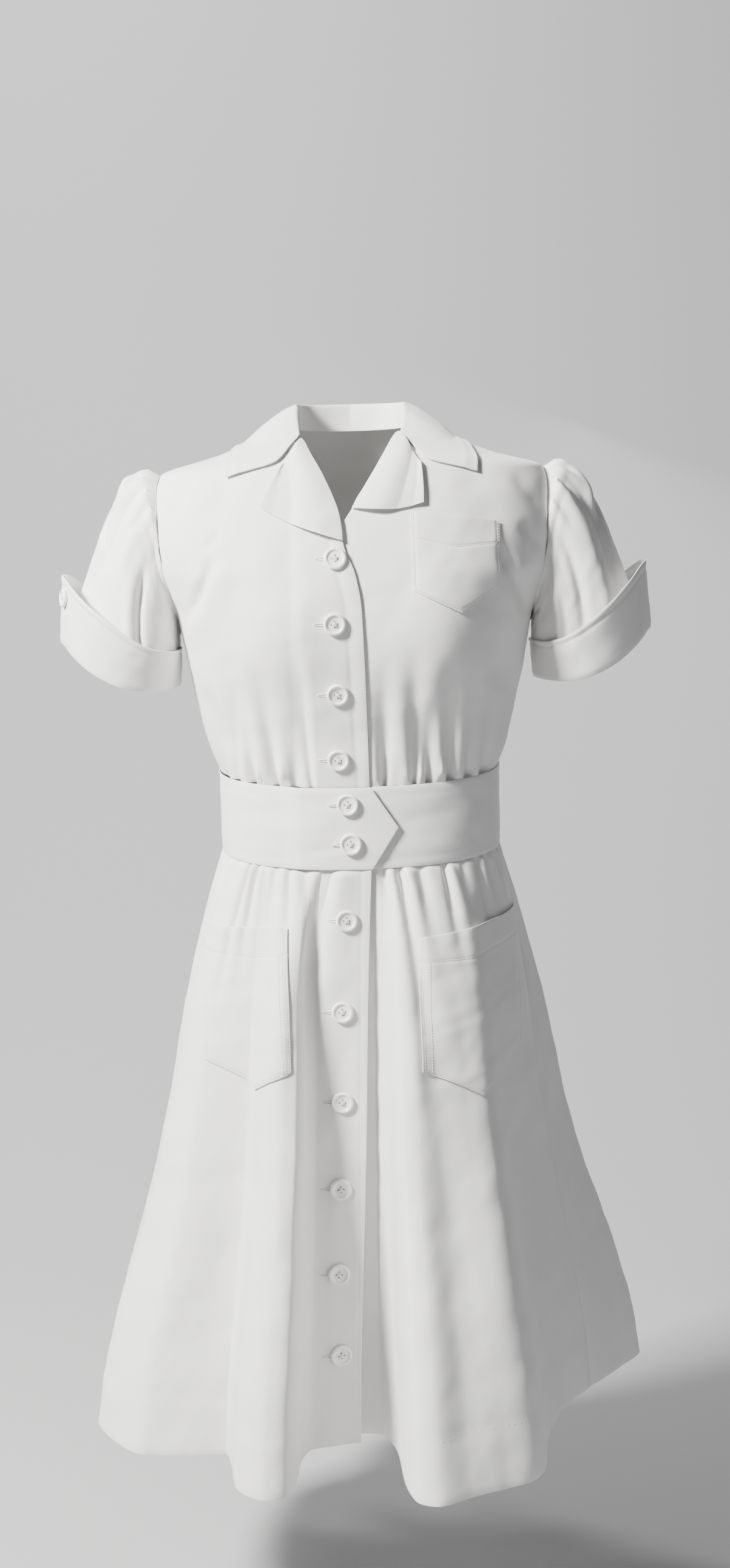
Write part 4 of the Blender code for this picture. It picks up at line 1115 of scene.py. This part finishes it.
def hip_pocket_form(shape, form, place):
    """Spaces the pocket's columns evenly along the skirt at each height."""
    def at(u, v, out=0.0):
        zero = np.zeros_like(u)
        z = shape(u, v)[1]
        start = find_on_skirt(form, shape(zero, v)[0], z)[0]
        end = find_on_skirt(form, shape(zero + 1.0, v)[0], z)[0]
        t = start + (end - start) * u
        top_z = form(t, 0.0 * t)[..., 2]
        return place(t, (top_z - z) / (top_z - HEM_Z), out)
    return at


def pocket_relief(sizes, depth):
    """Edges drawn down onto the cloth, the hem's fold line and a slight pout at the mouth."""
    width = sizes[1] - sizes[0]

    def at(u, v, places):
        from_side = np.minimum(u, 1.0 - u) * width
        from_top, from_foot = (1.0 - v) * depth, v * depth
        from_edge = np.minimum(from_side, from_foot)
        height = POCKET_PADDING * soft_step(from_edge, 0.0, POCKET_PADDING_REACH)
        height -= POCKET_GROOVE_DEPTH * hill(from_edge, POCKET_GROOVE, POCKET_GROOVE_WIDTH)
        height -= HEM_GROOVE_DEPTH * hill(from_top, POCKET_HEM, HEM_GROOVE_WIDTH)
        height += MOUTH_POUT * np.sin(np.pi * u) * hill(from_top, 0.0, MOUTH_POUT_REACH)
        swell = POCKET_SWELL * unevenness(places[..., 0] + 0.3, places[..., 2], POCKET_SWELL_SIZE)
        return height + swell * soft_step(from_edge, 0.0, 0.01)
    return at


breast = pocket_shape(BREAST_POCKET)
pocket_places = {
    "breast_pocket": (BREAST_POCKET, 0.084, lambda u, v, out=0.0: on_bodice(*breast(u, v), out)),
    "hip_pocket_right": (HIP_POCKETS["right"], 0.146, hip_pocket_form(
        pocket_shape(HIP_POCKETS["right"]), right_form,
        lambda t, s, out: raised_right(1.0 - t, 1.0 - s, out))),
    "hip_pocket_left": (HIP_POCKETS["left"], 0.148, hip_pocket_form(
        pocket_shape(HIP_POCKETS["left"]), left_form, lambda t, s, out: raised_left(t, 1.0 - s, out))),
}
cut_widths = {"breast_pocket": 0.083, "hip_pocket_right": 0.104, "hip_pocket_left": 0.140}
pocket_surfaces = {}
for name, (sizes, depth, place) in pocket_places.items():
    relief = pocket_relief(sizes, depth)

    def surface(u, v, out=0.0, place=place, relief=relief):
        return place(u, v, POCKET_RISE + relief(u, v, place(u, v)) + out)

    pocket_surfaces[name] = surface
    width = cut_widths[name]
    pocket = lay_cloth(name, 64, 76, surface, CLOTH, (width, depth))
    sew_in(pocket, name, width, 0.95 * width * depth)

# Lapels
# The faced front edges, turned back from the top button up to the collar. Each rolls softly over
# at the front edge and is free along its outer edge, with its peak below the notch.

LAPEL_TIPS = {"right": (-0.082, -0.075), "left": (0.063, -0.075)}
LAPEL_FOOT = {"right": 0.555, "left": 0.600}
LAPEL_HEAD = 0.895
NOTCH_X, NOTCH_Z = 0.062, -0.041
LAPEL_OUT = 0.5 * (CLOTH + FACED_CLOTH) + 0.0009
ROLL_SHARE = 0.10
LAPEL_BULGE, LAPEL_SAG, LAPEL_ARCH, LAPEL_SWELL = 0.0006, 0.004, 0.0030, 0.0004
EDGE_LIFT, EDGE_LIFT_PLACE = 0.0016, (0.82, 1.00)

for label, side, rows in (("right", -1.0, RIGHT_FRONT_EDGE), ("left", 1.0, LEFT_FRONT_EDGE)):
    fold = smooth_curve(rows)
    start, end = fold(LAPEL_FOOT[label]), fold(LAPEL_HEAD)
    tip, notch = np.array(LAPEL_TIPS[label]), np.array((side * NOTCH_X, NOTCH_Z))

    def lapel(u, v, side=side, fold=fold, start=start, end=end, tip=tip, notch=notch,
              foot=LAPEL_FOOT[label]):
        u = u if side > 0.0 else 1.0 - u
        rolling = np.clip(u / ROLL_SHARE, 0.0, 1.0)
        flat = np.clip((u - ROLL_SHARE) / (1.0 - ROLL_SHARE), 0.0, 1.0)
        a, b = flat[:, None], v[:, None]
        share = foot + (LAPEL_HEAD - foot) * v
        roll, outer = fold(share), tip + (notch - tip) * b
        bulge = LAPEL_BULGE * np.sin(np.pi * v)[:, None] * np.array((side, 0.25))
        low = start + (tip - start) * a + np.sin(np.pi * a) * np.array((0.0, -LAPEL_SAG))
        high = end + (notch - end) * a
        spot = (1 - a) * roll + a * (outer + bulge) + (1 - b) * low + b * high
        spot = spot - (1 - a) * (1 - b) * start - a * (1 - b) * tip - (1 - a) * b * end - a * b * notch
        along = fold(np.minimum(share + 0.01, 1.0)) - fold(share - 0.01)
        away = unit(np.stack([along[:, 1], -along[:, 0]], axis=-1)) * -side
        turn = rolling * np.pi
        tight = 0.5 * LAPEL_OUT * soft_step(v, -0.02, 0.08) * (1.0 - soft_step(v, 0.93, 1.02))
        spot = spot + away * (tight * np.sin(turn))[:, None]
        out = LAPEL_OUT * (0.55 + 0.45 * (0.5 - 0.5 * np.cos(turn)))
        out = out + LAPEL_ARCH * np.sin(np.pi * np.minimum(flat * 1.6, 1.0))
        out = out + EDGE_LIFT * soft_step(flat, *EDGE_LIFT_PLACE)
        x, z = spot[:, 0], np.minimum(spot[:, 1], -0.0005)
        out = out + LAPEL_SWELL * unevenness(x + side, z, 0.05) * np.sin(np.pi * flat)
        lap = front_lap(x, z) if side < 0.0 else 0.0
        return front_form(x, z, front_folds(x, z) + out + lap)

    lapel_piece = lay_cloth("lapel_" + label, 64, 60, lapel, FACED_CLOTH, (0.07, 0.075))
    sew_in(lapel_piece, "lapel_" + label, 0.068, 0.0041 if side < 0.0 else 0.0036)

# Collar
# A one-piece collar of two layers: a low stand round the back of the neck, a soft fold, and a fall
# that lies on the shoulders and ends in two points above the lapels.

FOLD_RING = (
    # share of the half round from the back, x, y, z of the fold
    (0.00, 0.000, 0.052, 0.028),
    (0.30, 0.034, 0.041, 0.027),
    (0.55, 0.049, 0.012, 0.024),
    (0.75, 0.050, -0.010, 0.015),
    (0.90, 0.048, -0.030, 0.000),
    (1.00, 0.0465, -0.041, -0.0085),
)
COLLAR_EDGE = (
    # share of the half round from the back, x, y, z of the outer edge
    (0.00, 0.000, 0.088, -0.034),
    (0.30, 0.060, 0.072, -0.030),
    (0.55, 0.097, 0.020, -0.014),
    (0.75, 0.108, -0.030, -0.026),
    (0.90, 0.112, -0.060, -0.040),
    (1.00, 0.112, -0.072, -0.048),
)
STAND_SHARE, NOTCH_SHARE = 0.25, 0.45
GORGE_GAP = 0.0012
NOTCH_Y = -0.070
NECK_RING, NECK_SEAM_Z = 0.985, -0.0020
COLLAR_SOFTNESS = 0.11
COLLAR_ARCH, COLLAR_SWELL = 0.004, 0.0004
# The seam allowance inside the free edge: a ridge and the groove under it, as share, width, height
COLLAR_EDGE_RIDGE, COLLAR_EDGE_GROOVE = (0.035, 0.03, 0.0004), (0.11, 0.025, 0.0003)
collar_fold, collar_edge = smooth_curve(FOLD_RING), smooth_curve(COLLAR_EDGE)


def lift_off_bodice(places, out):
    """The places, moved out where they lie lower than this over the bodice."""
    z = np.minimum(places[..., 2], -0.001)
    half_width, front, back, power = np.moveaxis(torso_section(z), -1, 0)
    depth = np.where(places[..., 1] < 0.0, front, back)
    across = (np.abs(places[..., 0]) / half_width) ** (power / 2.0)
    fore = (np.abs(places[..., 1]) / depth) ** (power / 2.0)
    angle = np.degrees(np.arctan2(across, fore))
    angle = np.where(places[..., 1] < 0.0, angle, 180.0 - angle)
    angle = angle * np.where(places[..., 0] < 0.0, -1.0, 1.0)
    normal = torso_normal(angle, z)
    height = np.sum((places - bodice_form(angle, z)) * normal, axis=-1)
    return places + normal * np.maximum(out - height, 0.0)[..., None]


def collar_form(u, v):
    side, share = np.where(u >= 0.5, 1.0, -1.0), np.abs(2.0 * u - 1.0)
    v = 1.0 - v
    top, outer = collar_fold(share), collar_edge(share)
    neck = torso_ring(180.0 - 90.0 * np.minimum(share / 0.55, 1.0), np.zeros_like(share)) * NECK_RING
    neck[:, 2] = NECK_SEAM_Z
    tuck_in = 1.0 - 0.75 * soft_step(share, 0.75, 1.0)
    inside = top * (1.0 - 0.07 * tuck_in)[:, None]
    inside[:, 2] = top[:, 2] - 0.004 * tuck_in
    inner = neck + (inside - neck) * soft_step(share, 0.40, 0.70)[:, None]
    notch = np.array((NOTCH_X + GORGE_GAP, NOTCH_Y, NOTCH_Z + 0.5 * GORGE_GAP))

    def walk(w):
        """From the neck seam, w 0, over the fold, w STAND_SHARE, to the free edge, w 1."""
        stand = np.clip(w / STAND_SHARE, 0.0, 1.0)[:, None]
        fall = np.clip((w - STAND_SHARE) / (1.0 - STAND_SHARE), 0.0, 1.0)[:, None]
        upper = np.minimum(fall / NOTCH_SHARE, 1.0)
        lower = np.maximum((fall - NOTCH_SHARE) / (1.0 - NOTCH_SHARE), 0.0)
        bent = top + (notch - top) * upper + (outer - notch) * lower
        straight = top + (outer - top) * fall
        bend = (share ** 10)[:, None]
        return inner + (top - inner) * stand + (straight - top) * (1.0 - bend) + (bent - top) * bend

    places = sum(walk(np.clip(v + offset * COLLAR_SOFTNESS, 0.0, 1.0)) * weight for offset, weight in (
        (-1.0, 0.1), (-0.5, 0.2), (0.0, 0.4), (0.5, 0.2), (1.0, 0.1)))
    ends = soft_step(np.minimum(v, 1.0 - v), 0.0, COLLAR_SOFTNESS)[:, None]
    places = walk(v) * (1.0 - ends) + places * ends
    fall = np.clip((v - STAND_SHARE) / (1.0 - STAND_SHARE), 0.0, 1.0)
    rise = COLLAR_ARCH * np.sin(np.pi * fall) * (1.0 - share ** 6)
    rise = rise + COLLAR_SWELL * unevenness(places[:, 0], places[:, 2], 0.05)
    direction = unit(np.stack([places[:, 0], places[:, 1], np.full_like(share, 0.03)], axis=-1))
    places = places + direction * (rise * soft_step(fall, 0.0, 0.2))[:, None]
    places = places + (lift_off_bodice(places, LAPEL_OUT) - places) * soft_step(fall, 0.0, 0.1)[:, None]
    return places * np.stack([side, np.ones_like(side), np.ones_like(side)], axis=-1)


def collar_relief(u, v, places):
    """A soft ridge where the seam allowance is turned in along the free edge."""
    ridge, ridge_width, ridge_height = COLLAR_EDGE_RIDGE
    groove, groove_width, groove_depth = COLLAR_EDGE_GROOVE
    return ridge_height * hill(v, ridge, ridge_width) - groove_depth * hill(v, groove, groove_width)


collar = lay_cloth("collar", 210, 50, raised(collar_form, collar_relief), FACED_CLOTH, (0.36, 0.09))
sew_in(collar, "collar", 0.42, 0.034)

# Buttons
# Fourteen moulded plastic buttons, dished inside a rounded rim, with four holes set as a diamond.
# Each is sewn on with two crossing strands; those on the cuffs are one size smaller.

BUTTON_RADIUS, SMALL_BUTTON_RADIUS = 0.0100, 0.0085
BUTTON_THICKNESS = 0.0032
HOLE_RADIUS, HOLE_DISTANCE = 0.00095, 0.0026
BUTTON_PROFILE = (
    # share of the way from the back's middle to the face's middle, radius, height, as shares
    (0.00, 0.00, 0.00),
    (0.18, 0.88, 0.00),
    (0.26, 0.97, 0.16),
    (0.34, 1.00, 0.45),
    (0.42, 0.97, 0.76),
    (0.50, 0.90, 0.96),
    (0.57, 0.82, 1.00),
    (0.64, 0.75, 0.93),
    (0.71, 0.69, 0.74),
    (0.78, 0.62, 0.62),
    (0.88, 0.35, 0.57),
    (1.00, 0.00, 0.56),
)
BODICE_BUTTONS = ((-0.016, -0.122), (-0.018, -0.178), (-0.017, -0.240), (-0.018, -0.300))
BELT_BUTTONS = ((-0.011, -0.341), (-0.009, -0.377))
SKIRT_BUTTONS = (
    (-0.015, -0.447), (-0.021, -0.531), (-0.023, -0.615),
    (-0.027, -0.696), (-0.031, -0.776), (-0.031, -0.853))
CUFF_BUTTON_TURN, CUFF_BUTTON_UP = 0.055, 0.72

# White moulded plastic with a soft polish.
button_plastic, tree, shader = start_material("white_moulded_button_plastic")
spot = add_node(tree, "ShaderNodeTexCoord").outputs["Object"]
cloud = add_node(tree, "ShaderNodeTexNoise", {
    "Vector": spot, "Scale": 160.0, "Detail": 3.0, "Roughness": 0.5})
hue = add_node(tree, "ShaderNodeValToRGB", {"Fac": cloud.outputs["Fac"]})
hue.color_ramp.elements[0].color = linear("#ecebea")
hue.color_ramp.elements[1].color = linear("#f6f5f3")
polish = add_node(tree, "ShaderNodeMapRange", {
    "Value": cloud.outputs["Fac"], "To Min": 0.20, "To Max": 0.34})
tree.links.new(hue.outputs["Color"], shader.inputs["Base Color"])
tree.links.new(polish.outputs["Result"], shader.inputs["Roughness"])
shader.inputs["IOR"].default_value = 1.5

# Spun white sewing thread, faintly fuzzy, a shade warmer than the cloth.
thread, tree, shader = start_material("white_sewing_thread")
spot = add_node(tree, "ShaderNodeTexCoord").outputs["Object"]
plies = add_node(tree, "ShaderNodeTexNoise", {"Vector": spot, "Scale": 2200.0, "Detail": 2.0})
twist = add_node(tree, "ShaderNodeBump", {
    "Height": plies.outputs["Fac"], "Strength": 0.4, "Distance": 0.0001})
shade = add_node(tree, "ShaderNodeValToRGB", {"Fac": plies.outputs["Fac"]})
shade.color_ramp.elements[0].color = linear("#dedcd8")
shade.color_ramp.elements[1].color = linear("#efeeec")
tree.links.new(shade.outputs["Color"], shader.inputs["Base Color"])
tree.links.new(twist.outputs["Normal"], shader.inputs["Normal"])
shader.inputs["Roughness"].default_value = 0.75
shader.inputs["Sheen Weight"].default_value = 0.25

button_section = smooth_curve(BUTTON_PROFILE)
bpy.ops.object.select_all(action="DESELECT")
bpy.ops.mesh.primitive_grid_add(x_subdivisions=40, y_subdivisions=22, size=1.0)
button = bpy.context.object
for vertex in button.data.vertices:
    radius, height = button_section(np.array(vertex.co.y + 0.5))
    around = 2.0 * math.pi * (vertex.co.x + 0.5)
    radius = BUTTON_RADIUS * radius
    vertex.co = (radius * math.cos(around), radius * math.sin(around), BUTTON_THICKNESS * height)
weld(0.00001)
bpy.ops.object.mode_set(mode="EDIT")
bpy.ops.mesh.normals_make_consistent(inside=False)
bpy.ops.object.mode_set(mode="OBJECT")
for x, y in ((HOLE_DISTANCE, 0.0), (-HOLE_DISTANCE, 0.0), (0.0, HOLE_DISTANCE), (0.0, -HOLE_DISTANCE)):
    bpy.ops.mesh.primitive_cylinder_add(vertices=16, radius=HOLE_RADIUS, depth=0.02, location=(x, y, 0.0))
    drill = bpy.context.object
    bpy.ops.object.select_all(action="DESELECT")
    button.select_set(True)
    bpy.context.view_layer.objects.active = button
    hole = button.modifiers.new("Hole", "BOOLEAN")
    hole.object = drill
    bpy.ops.object.modifier_apply(modifier="Hole")
    bpy.data.objects.remove(drill, do_unlink=True)
bpy.ops.object.shade_smooth_by_angle(angle=math.radians(40.0))
button.data.materials.append(button_plastic)
button_mesh = button.data
bpy.data.objects.remove(button, do_unlink=True)

bpy.ops.mesh.primitive_grid_add(x_subdivisions=8, y_subdivisions=14, size=1.0)
strand = bpy.context.object
STRAND_RADIUS, STRAND_RISE = 0.00038, 0.0007
for vertex in strand.data.vertices:
    along, around = vertex.co.y * 2.0, 2.0 * math.pi * vertex.co.x
    height = 0.0022 + STRAND_RISE * (1.0 - along ** 2) - 0.0016 * along ** 6
    vertex.co = (
        HOLE_DISTANCE * along, STRAND_RADIUS * math.cos(around), height + STRAND_RADIUS * math.sin(around))
weld(0.00001)
bpy.ops.object.shade_smooth()
strand_mesh = strand.data
bpy.data.objects.remove(strand, do_unlink=True)


def surface_frame(place, x, z):
    """A matrix whose origin is place(x, z) and whose Z axis is the outward normal there."""
    near = place(np.array([x, x + 0.002, x - 0.002, x, x]), np.array([z, z, z, z + 0.002, z - 0.002]), 0.0)
    across, up = Vector(near[1] - near[2]).normalized(), Vector(near[3] - near[4])
    normal = across.cross(up).normalized()
    up = normal.cross(across)
    frame_matrix = Matrix((across, up, normal)).transposed().to_4x4()
    frame_matrix.translation = Vector(near[0])
    return frame_matrix


def on_belt(x, z, out):
    angle = front_angle(x, np.full_like(x, BELT_MIDDLE_Z))
    share = (waist_height(angle) - z) / BELT_HEIGHT
    return belt_form(angle, share, BELT_STEP + 0.0006 + out)


def on_cuff(side):
    def at(x, z, out):
        share = CUFF_BUTTON_TURN - CUFF_START - side * x / CUFF_ROUND
        return cuff_surfaces[side](share / (1.0 + CUFF_OVERLAP), CUFF_BUTTON_UP + z / CUFF_HIGH, out)
    return at


def join_pieces(pieces, name):
    """Joins small pieces of thread into one, with its material and body."""
    bpy.ops.object.select_all(action="DESELECT")
    for piece in pieces:
        piece.select_set(True)
    bpy.context.view_layer.objects.active = pieces[0]
    bpy.ops.object.join()
    joined = bpy.context.object
    joined.name = name
    joined.data.materials.append(thread)
    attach(joined, "root")


BUTTON_LIFT = 0.0002
sewn_places = []
for kind, place, spots, wall in (
        ("bodice_button_", on_bodice, BODICE_BUTTONS, CLOTH),
        ("belt_button_", on_belt, BELT_BUTTONS, BELT_THICKNESS),
        ("skirt_button_", on_right_skirt, SKIRT_BUTTONS, CLOTH)):
    for number, (x, z) in enumerate(spots, 1):
        sewn_places.append((kind + str(number), place, x, z, 0.5 * wall + BUTTON_LIFT))
for label, side in (("right", -1.0), ("left", 1.0)):
    sewn_places.append(("cuff_button_" + label, on_cuff(side), 0.0, 0.0, 0.5 * FACED_CLOTH + BUTTON_LIFT))
strands = []
for number, (name, place, x, z, out) in enumerate(sewn_places):
    scale = SMALL_BUTTON_RADIUS / BUTTON_RADIUS if name.startswith("cuff") else 1.0
    seat = surface_frame(place, x, z) @ Matrix.Translation((0.0, 0.0, out))
    seat = seat @ Matrix.Rotation(math.radians(11.0 * math.sin(3.1 * number)), 4, "Z")
    seat = seat @ Matrix.Diagonal((scale, scale, 1.0, 1.0))
    piece = bpy.data.objects.new(name, button_mesh.copy())
    bpy.context.scene.collection.objects.link(piece)
    piece.data.transform(seat)
    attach(piece, "root")
    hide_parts(name)
    for quarter in (0.0, 90.0):
        strand = bpy.data.objects.new("strand", strand_mesh.copy())
        bpy.context.scene.collection.objects.link(strand)
        strand.data.transform(seat @ Matrix.Translation((0.0, 0.0, 0.0004 * (quarter > 0.0)))
                              @ Matrix.Rotation(math.radians(quarter), 4, "Z"))
        strands.append(strand)

join_pieces(strands, "button_thread")

# Buttonholes
# Each is cut level with its button, reaches out towards the wearer's right and is bound with a
# close bead of thread.

HOLE_LENGTH, HOLE_HEIGHT, BEAD_RADIUS = 0.0215, 0.0024, 0.00055
HOLE_SHIFT, BEAD_SHARE = -0.0068, 0.2
beads = []
for name, place, x, z, out in sewn_places[:12]:
    bpy.ops.mesh.primitive_torus_add(
        major_segments=56, minor_segments=7, major_radius=1.0, minor_radius=BEAD_SHARE)
    bead = bpy.context.object
    spots = np.array([vertex.co for vertex in bead.data.vertices])
    around = np.arctan2(spots[:, 1], spots[:, 0])
    ring = np.hypot(spots[:, 0], spots[:, 1]) - 1.0
    binding = BEAD_RADIUS * (1.0 + 0.12 * np.sin(14.0 * around))
    wide = ring / BEAD_SHARE * binding
    flat_x = x + HOLE_SHIFT + np.cos(around) * (0.5 * HOLE_LENGTH + wide)
    flat_z = z + np.sin(around) * np.abs(np.sin(around)) ** 0.2 * (0.5 * HOLE_HEIGHT + wide)
    laid = place(flat_x, flat_z, out - BUTTON_LIFT + spots[:, 2] / BEAD_SHARE * BEAD_RADIUS * 0.8)
    bead.data.vertices.foreach_set("co", laid.ravel())
    bpy.ops.object.shade_smooth()
    beads.append(bead)
join_pieces(beads, "buttonholes")

# Stitching
# Rows of small even machine stitches that hold the pockets and their hems, and small hand stitches,
# spaced out, that hold the skirt's hem from inside.

STITCH_LENGTH, STITCH_PITCH, STITCH_RADIUS = 0.0021, 0.0026, 0.00024


def sew_row(path, surface, pitch=STITCH_PITCH, length=STITCH_LENGTH):
    """A row of stitches along path(share) to (a, b), laid on surface(a, b, out)."""
    shares = np.linspace(0.0, 1.0, 200)
    line = surface(*path(shares), 0.0)
    run = np.concatenate([[0.0], np.cumsum(np.linalg.norm(np.diff(line, axis=0), axis=1))])
    count = int(run[-1] / pitch)
    bpy.ops.object.select_all(action="DESELECT")
    bpy.ops.mesh.primitive_uv_sphere_add(segments=6, ring_count=4, radius=1.0)
    row = bpy.context.object
    bpy.ops.object.mode_set(mode="EDIT")
    bpy.ops.transform.rotate(value=math.radians(90.0), orient_axis="Y")
    bpy.ops.object.mode_set(mode="OBJECT")
    line_up = row.modifiers.new("Row", "ARRAY")
    line_up.count = count
    line_up.use_relative_offset = False
    line_up.use_constant_offset = True
    line_up.constant_offset_displace = (4.0, 0.0, 0.0)
    bpy.ops.object.modifier_apply(modifier="Row")
    spots = np.array([vertex.co for vertex in row.data.vertices])
    number = np.round(spots[:, 0] / 4.0)
    travel = (number + 0.5) * pitch + (spots[:, 0] - 4.0 * number) * 0.5 * length
    where = np.interp(travel, run, shares)
    a, b = path(where)
    base = surface(a, b, 0.0)
    normal = unit(surface(a, b, 0.001) - base)
    before, after = path(np.maximum(where - 0.002, 0.0)), path(np.minimum(where + 0.002, 1.0))
    ahead = surface(*after, 0.0) - surface(*before, 0.0)
    aside = unit(np.cross(normal, ahead))
    lift = STITCH_RADIUS * (0.35 + 0.9 * spots[:, 2])
    row.data.vertices.foreach_set(
        "co", (base + aside * (spots[:, 1] * STITCH_RADIUS)[:, None] + normal * lift[:, None]).ravel())
    bpy.ops.object.shade_smooth()
    return row


def broken_line(*corners):
    """A path through the corners, spaced evenly along its share."""
    spots = np.array(corners, dtype=float)
    stops = np.linspace(0.0, 1.0, len(spots))
    return lambda share: (np.interp(share, stops, spots[:, 0]), np.interp(share, stops, spots[:, 1]))


rows = []
for name, (sizes, depth, _) in pocket_places.items():
    surface = pocket_surfaces[name]
    near_side, near_foot = 0.0022 / (sizes[1] - sizes[0]), 0.0024 / depth
    hem_share = 1.0 - POCKET_HEM / depth

    def on_pocket(u, v, out, surface=surface):
        return surface(u, v, 0.5 * CLOTH + out)

    left_side = broken_line((near_side, 0.995), (near_side, near_foot))
    right_side = broken_line((1.0 - near_side, near_foot), (1.0 - near_side, 0.995))
    foot = broken_line((near_side, near_foot), (0.5, near_foot), (1.0 - near_side, near_foot))
    hem = broken_line((0.01, hem_share), (0.99, hem_share))
    rows += [sew_row(path, on_pocket) for path in (left_side, foot, right_side, hem)]
    if name.startswith("hip"):
        inner = 1.0 - 3.2 * near_side if name.endswith("right") else 3.2 * near_side
        rows.append(sew_row(broken_line((inner, hem_share), (inner, near_foot)), on_pocket))

HEM_STITCH_SHARE = HEM_DEPTH / SKIRT_LENGTH
HEM_STITCH_PITCH, HEM_STITCH_LENGTH = 0.0065, 0.0012
hem_path = broken_line((0.004, HEM_STITCH_SHARE), (0.996, HEM_STITCH_SHARE))
for raised_panel in (raised_right, raised_left, raised_back):
    def on_hem(u, v, out, panel=raised_panel):
        return panel(u, v, 0.5 * CLOTH + out)
    rows.append(sew_row(hem_path, on_hem, HEM_STITCH_PITCH, HEM_STITCH_LENGTH))
join_pieces(rows, "stitching")

# Room
# A pale paper backdrop that sweeps from a wall well behind the dress down onto the floor under it,
# so that a camera can go all the way round without the paper coming between.

bpy.ops.mesh.primitive_grid_add(x_subdivisions=2, y_subdivisions=60, size=1.0)
backdrop = bpy.context.object
backdrop.name = "backdrop"
FLOOR_Z, WALL_Y, SWEEP = -1.16, 3.6, 2.8
PAPER_SIZE, PAPER_REACH = 14.0, 5.5
for vertex in backdrop.data.vertices:
    run = (vertex.co.y + 0.5) * PAPER_SIZE - PAPER_REACH
    flat_end = WALL_Y - SWEEP
    bend = min(max((run - flat_end) / SWEEP, 0.0), 0.5 * math.pi)
    beyond = max(run - flat_end - 0.5 * SWEEP * math.pi, 0.0)
    y = min(run, flat_end) + SWEEP * math.sin(bend)
    z = FLOOR_Z + SWEEP * (1.0 - math.cos(bend)) + beyond
    vertex.co = (vertex.co.x * PAPER_SIZE, y, z)
bpy.ops.object.shade_smooth()

# Pale grey background paper, matt, unprinted.
paper, tree, shader = start_material("background_paper")
shader.inputs["Base Color"].default_value = linear("#b0b0b1")
shader.inputs["Roughness"].default_value = 0.9
backdrop.data.materials.append(paper)

# Light: a soft source high in front on the photo's left, a weaker one on the right, a faint one
# behind, and one that brightens the upper part of the paper.
for name, place, target, size, power, colour in (
        ("key", (-1.55, -1.10, 1.10), (0.0, 0.0, -0.25), 0.45, 275.0, "#fffdfa"),
        ("fill", (1.7, -2.1, 0.1), (0.0, 0.0, -0.45), 1.6, 9.0, "#f6f4ff"),
        ("back", (1.2, 2.4, 1.0), (0.0, 0.0, -0.45), 1.8, 22.0, "#ffffff"),
        ("paper", (-1.2, 1.2, 2.6), (0.0, WALL_Y, 1.2), 1.6, 160.0, "#ffffff")):
    bpy.ops.object.light_add(type="AREA", location=place)
    light = bpy.context.object
    light.name = name
    light.data.size = size
    light.data.energy = power
    light.data.color = linear(colour)[:3]
    aim = Vector(target) - light.location
    light.rotation_euler = aim.to_track_quat("-Z", "Y").to_euler()

world = bpy.data.worlds.new("studio")
world.use_nodes = True
world.node_tree.nodes["Background"].inputs["Color"].default_value = linear("#f2f2f2")
world.node_tree.nodes["Background"].inputs["Strength"].default_value = 0.05
bpy.context.scene.world = world

# Camera: where the photograph was taken from, a little above the middle of the dress.
CAMERA_DISTANCE, METRES_PER_PIXEL = 1.75, 0.575e-3
PHOTO_HEIGHT, HORIZON_ROW = 2576.0, 890.0
FOCUS = CAMERA_DISTANCE / METRES_PER_PIXEL
bpy.ops.object.camera_add(location=(0.005, -CAMERA_DISTANCE, -0.107))
camera = bpy.context.object
camera.data.sensor_width = 36.0
camera.data.lens = FOCUS / PHOTO_HEIGHT * 36.0
pitch, roll = math.atan((0.5 * PHOTO_HEIGHT - HORIZON_ROW) / FOCUS), math.radians(1.5)
ahead = Vector((0.0, math.cos(pitch), -math.sin(pitch)))
aside = Vector((1.0, 0.0, 0.0))
upward = aside.cross(ahead)
turned_aside = aside * math.cos(roll) - upward * math.sin(roll)
turned_up = upward * math.cos(roll) + aside * math.sin(roll)
camera.rotation_euler = Matrix((turned_aside, turned_up, -ahead)).transposed().to_euler()
bpy.context.scene.camera = camera
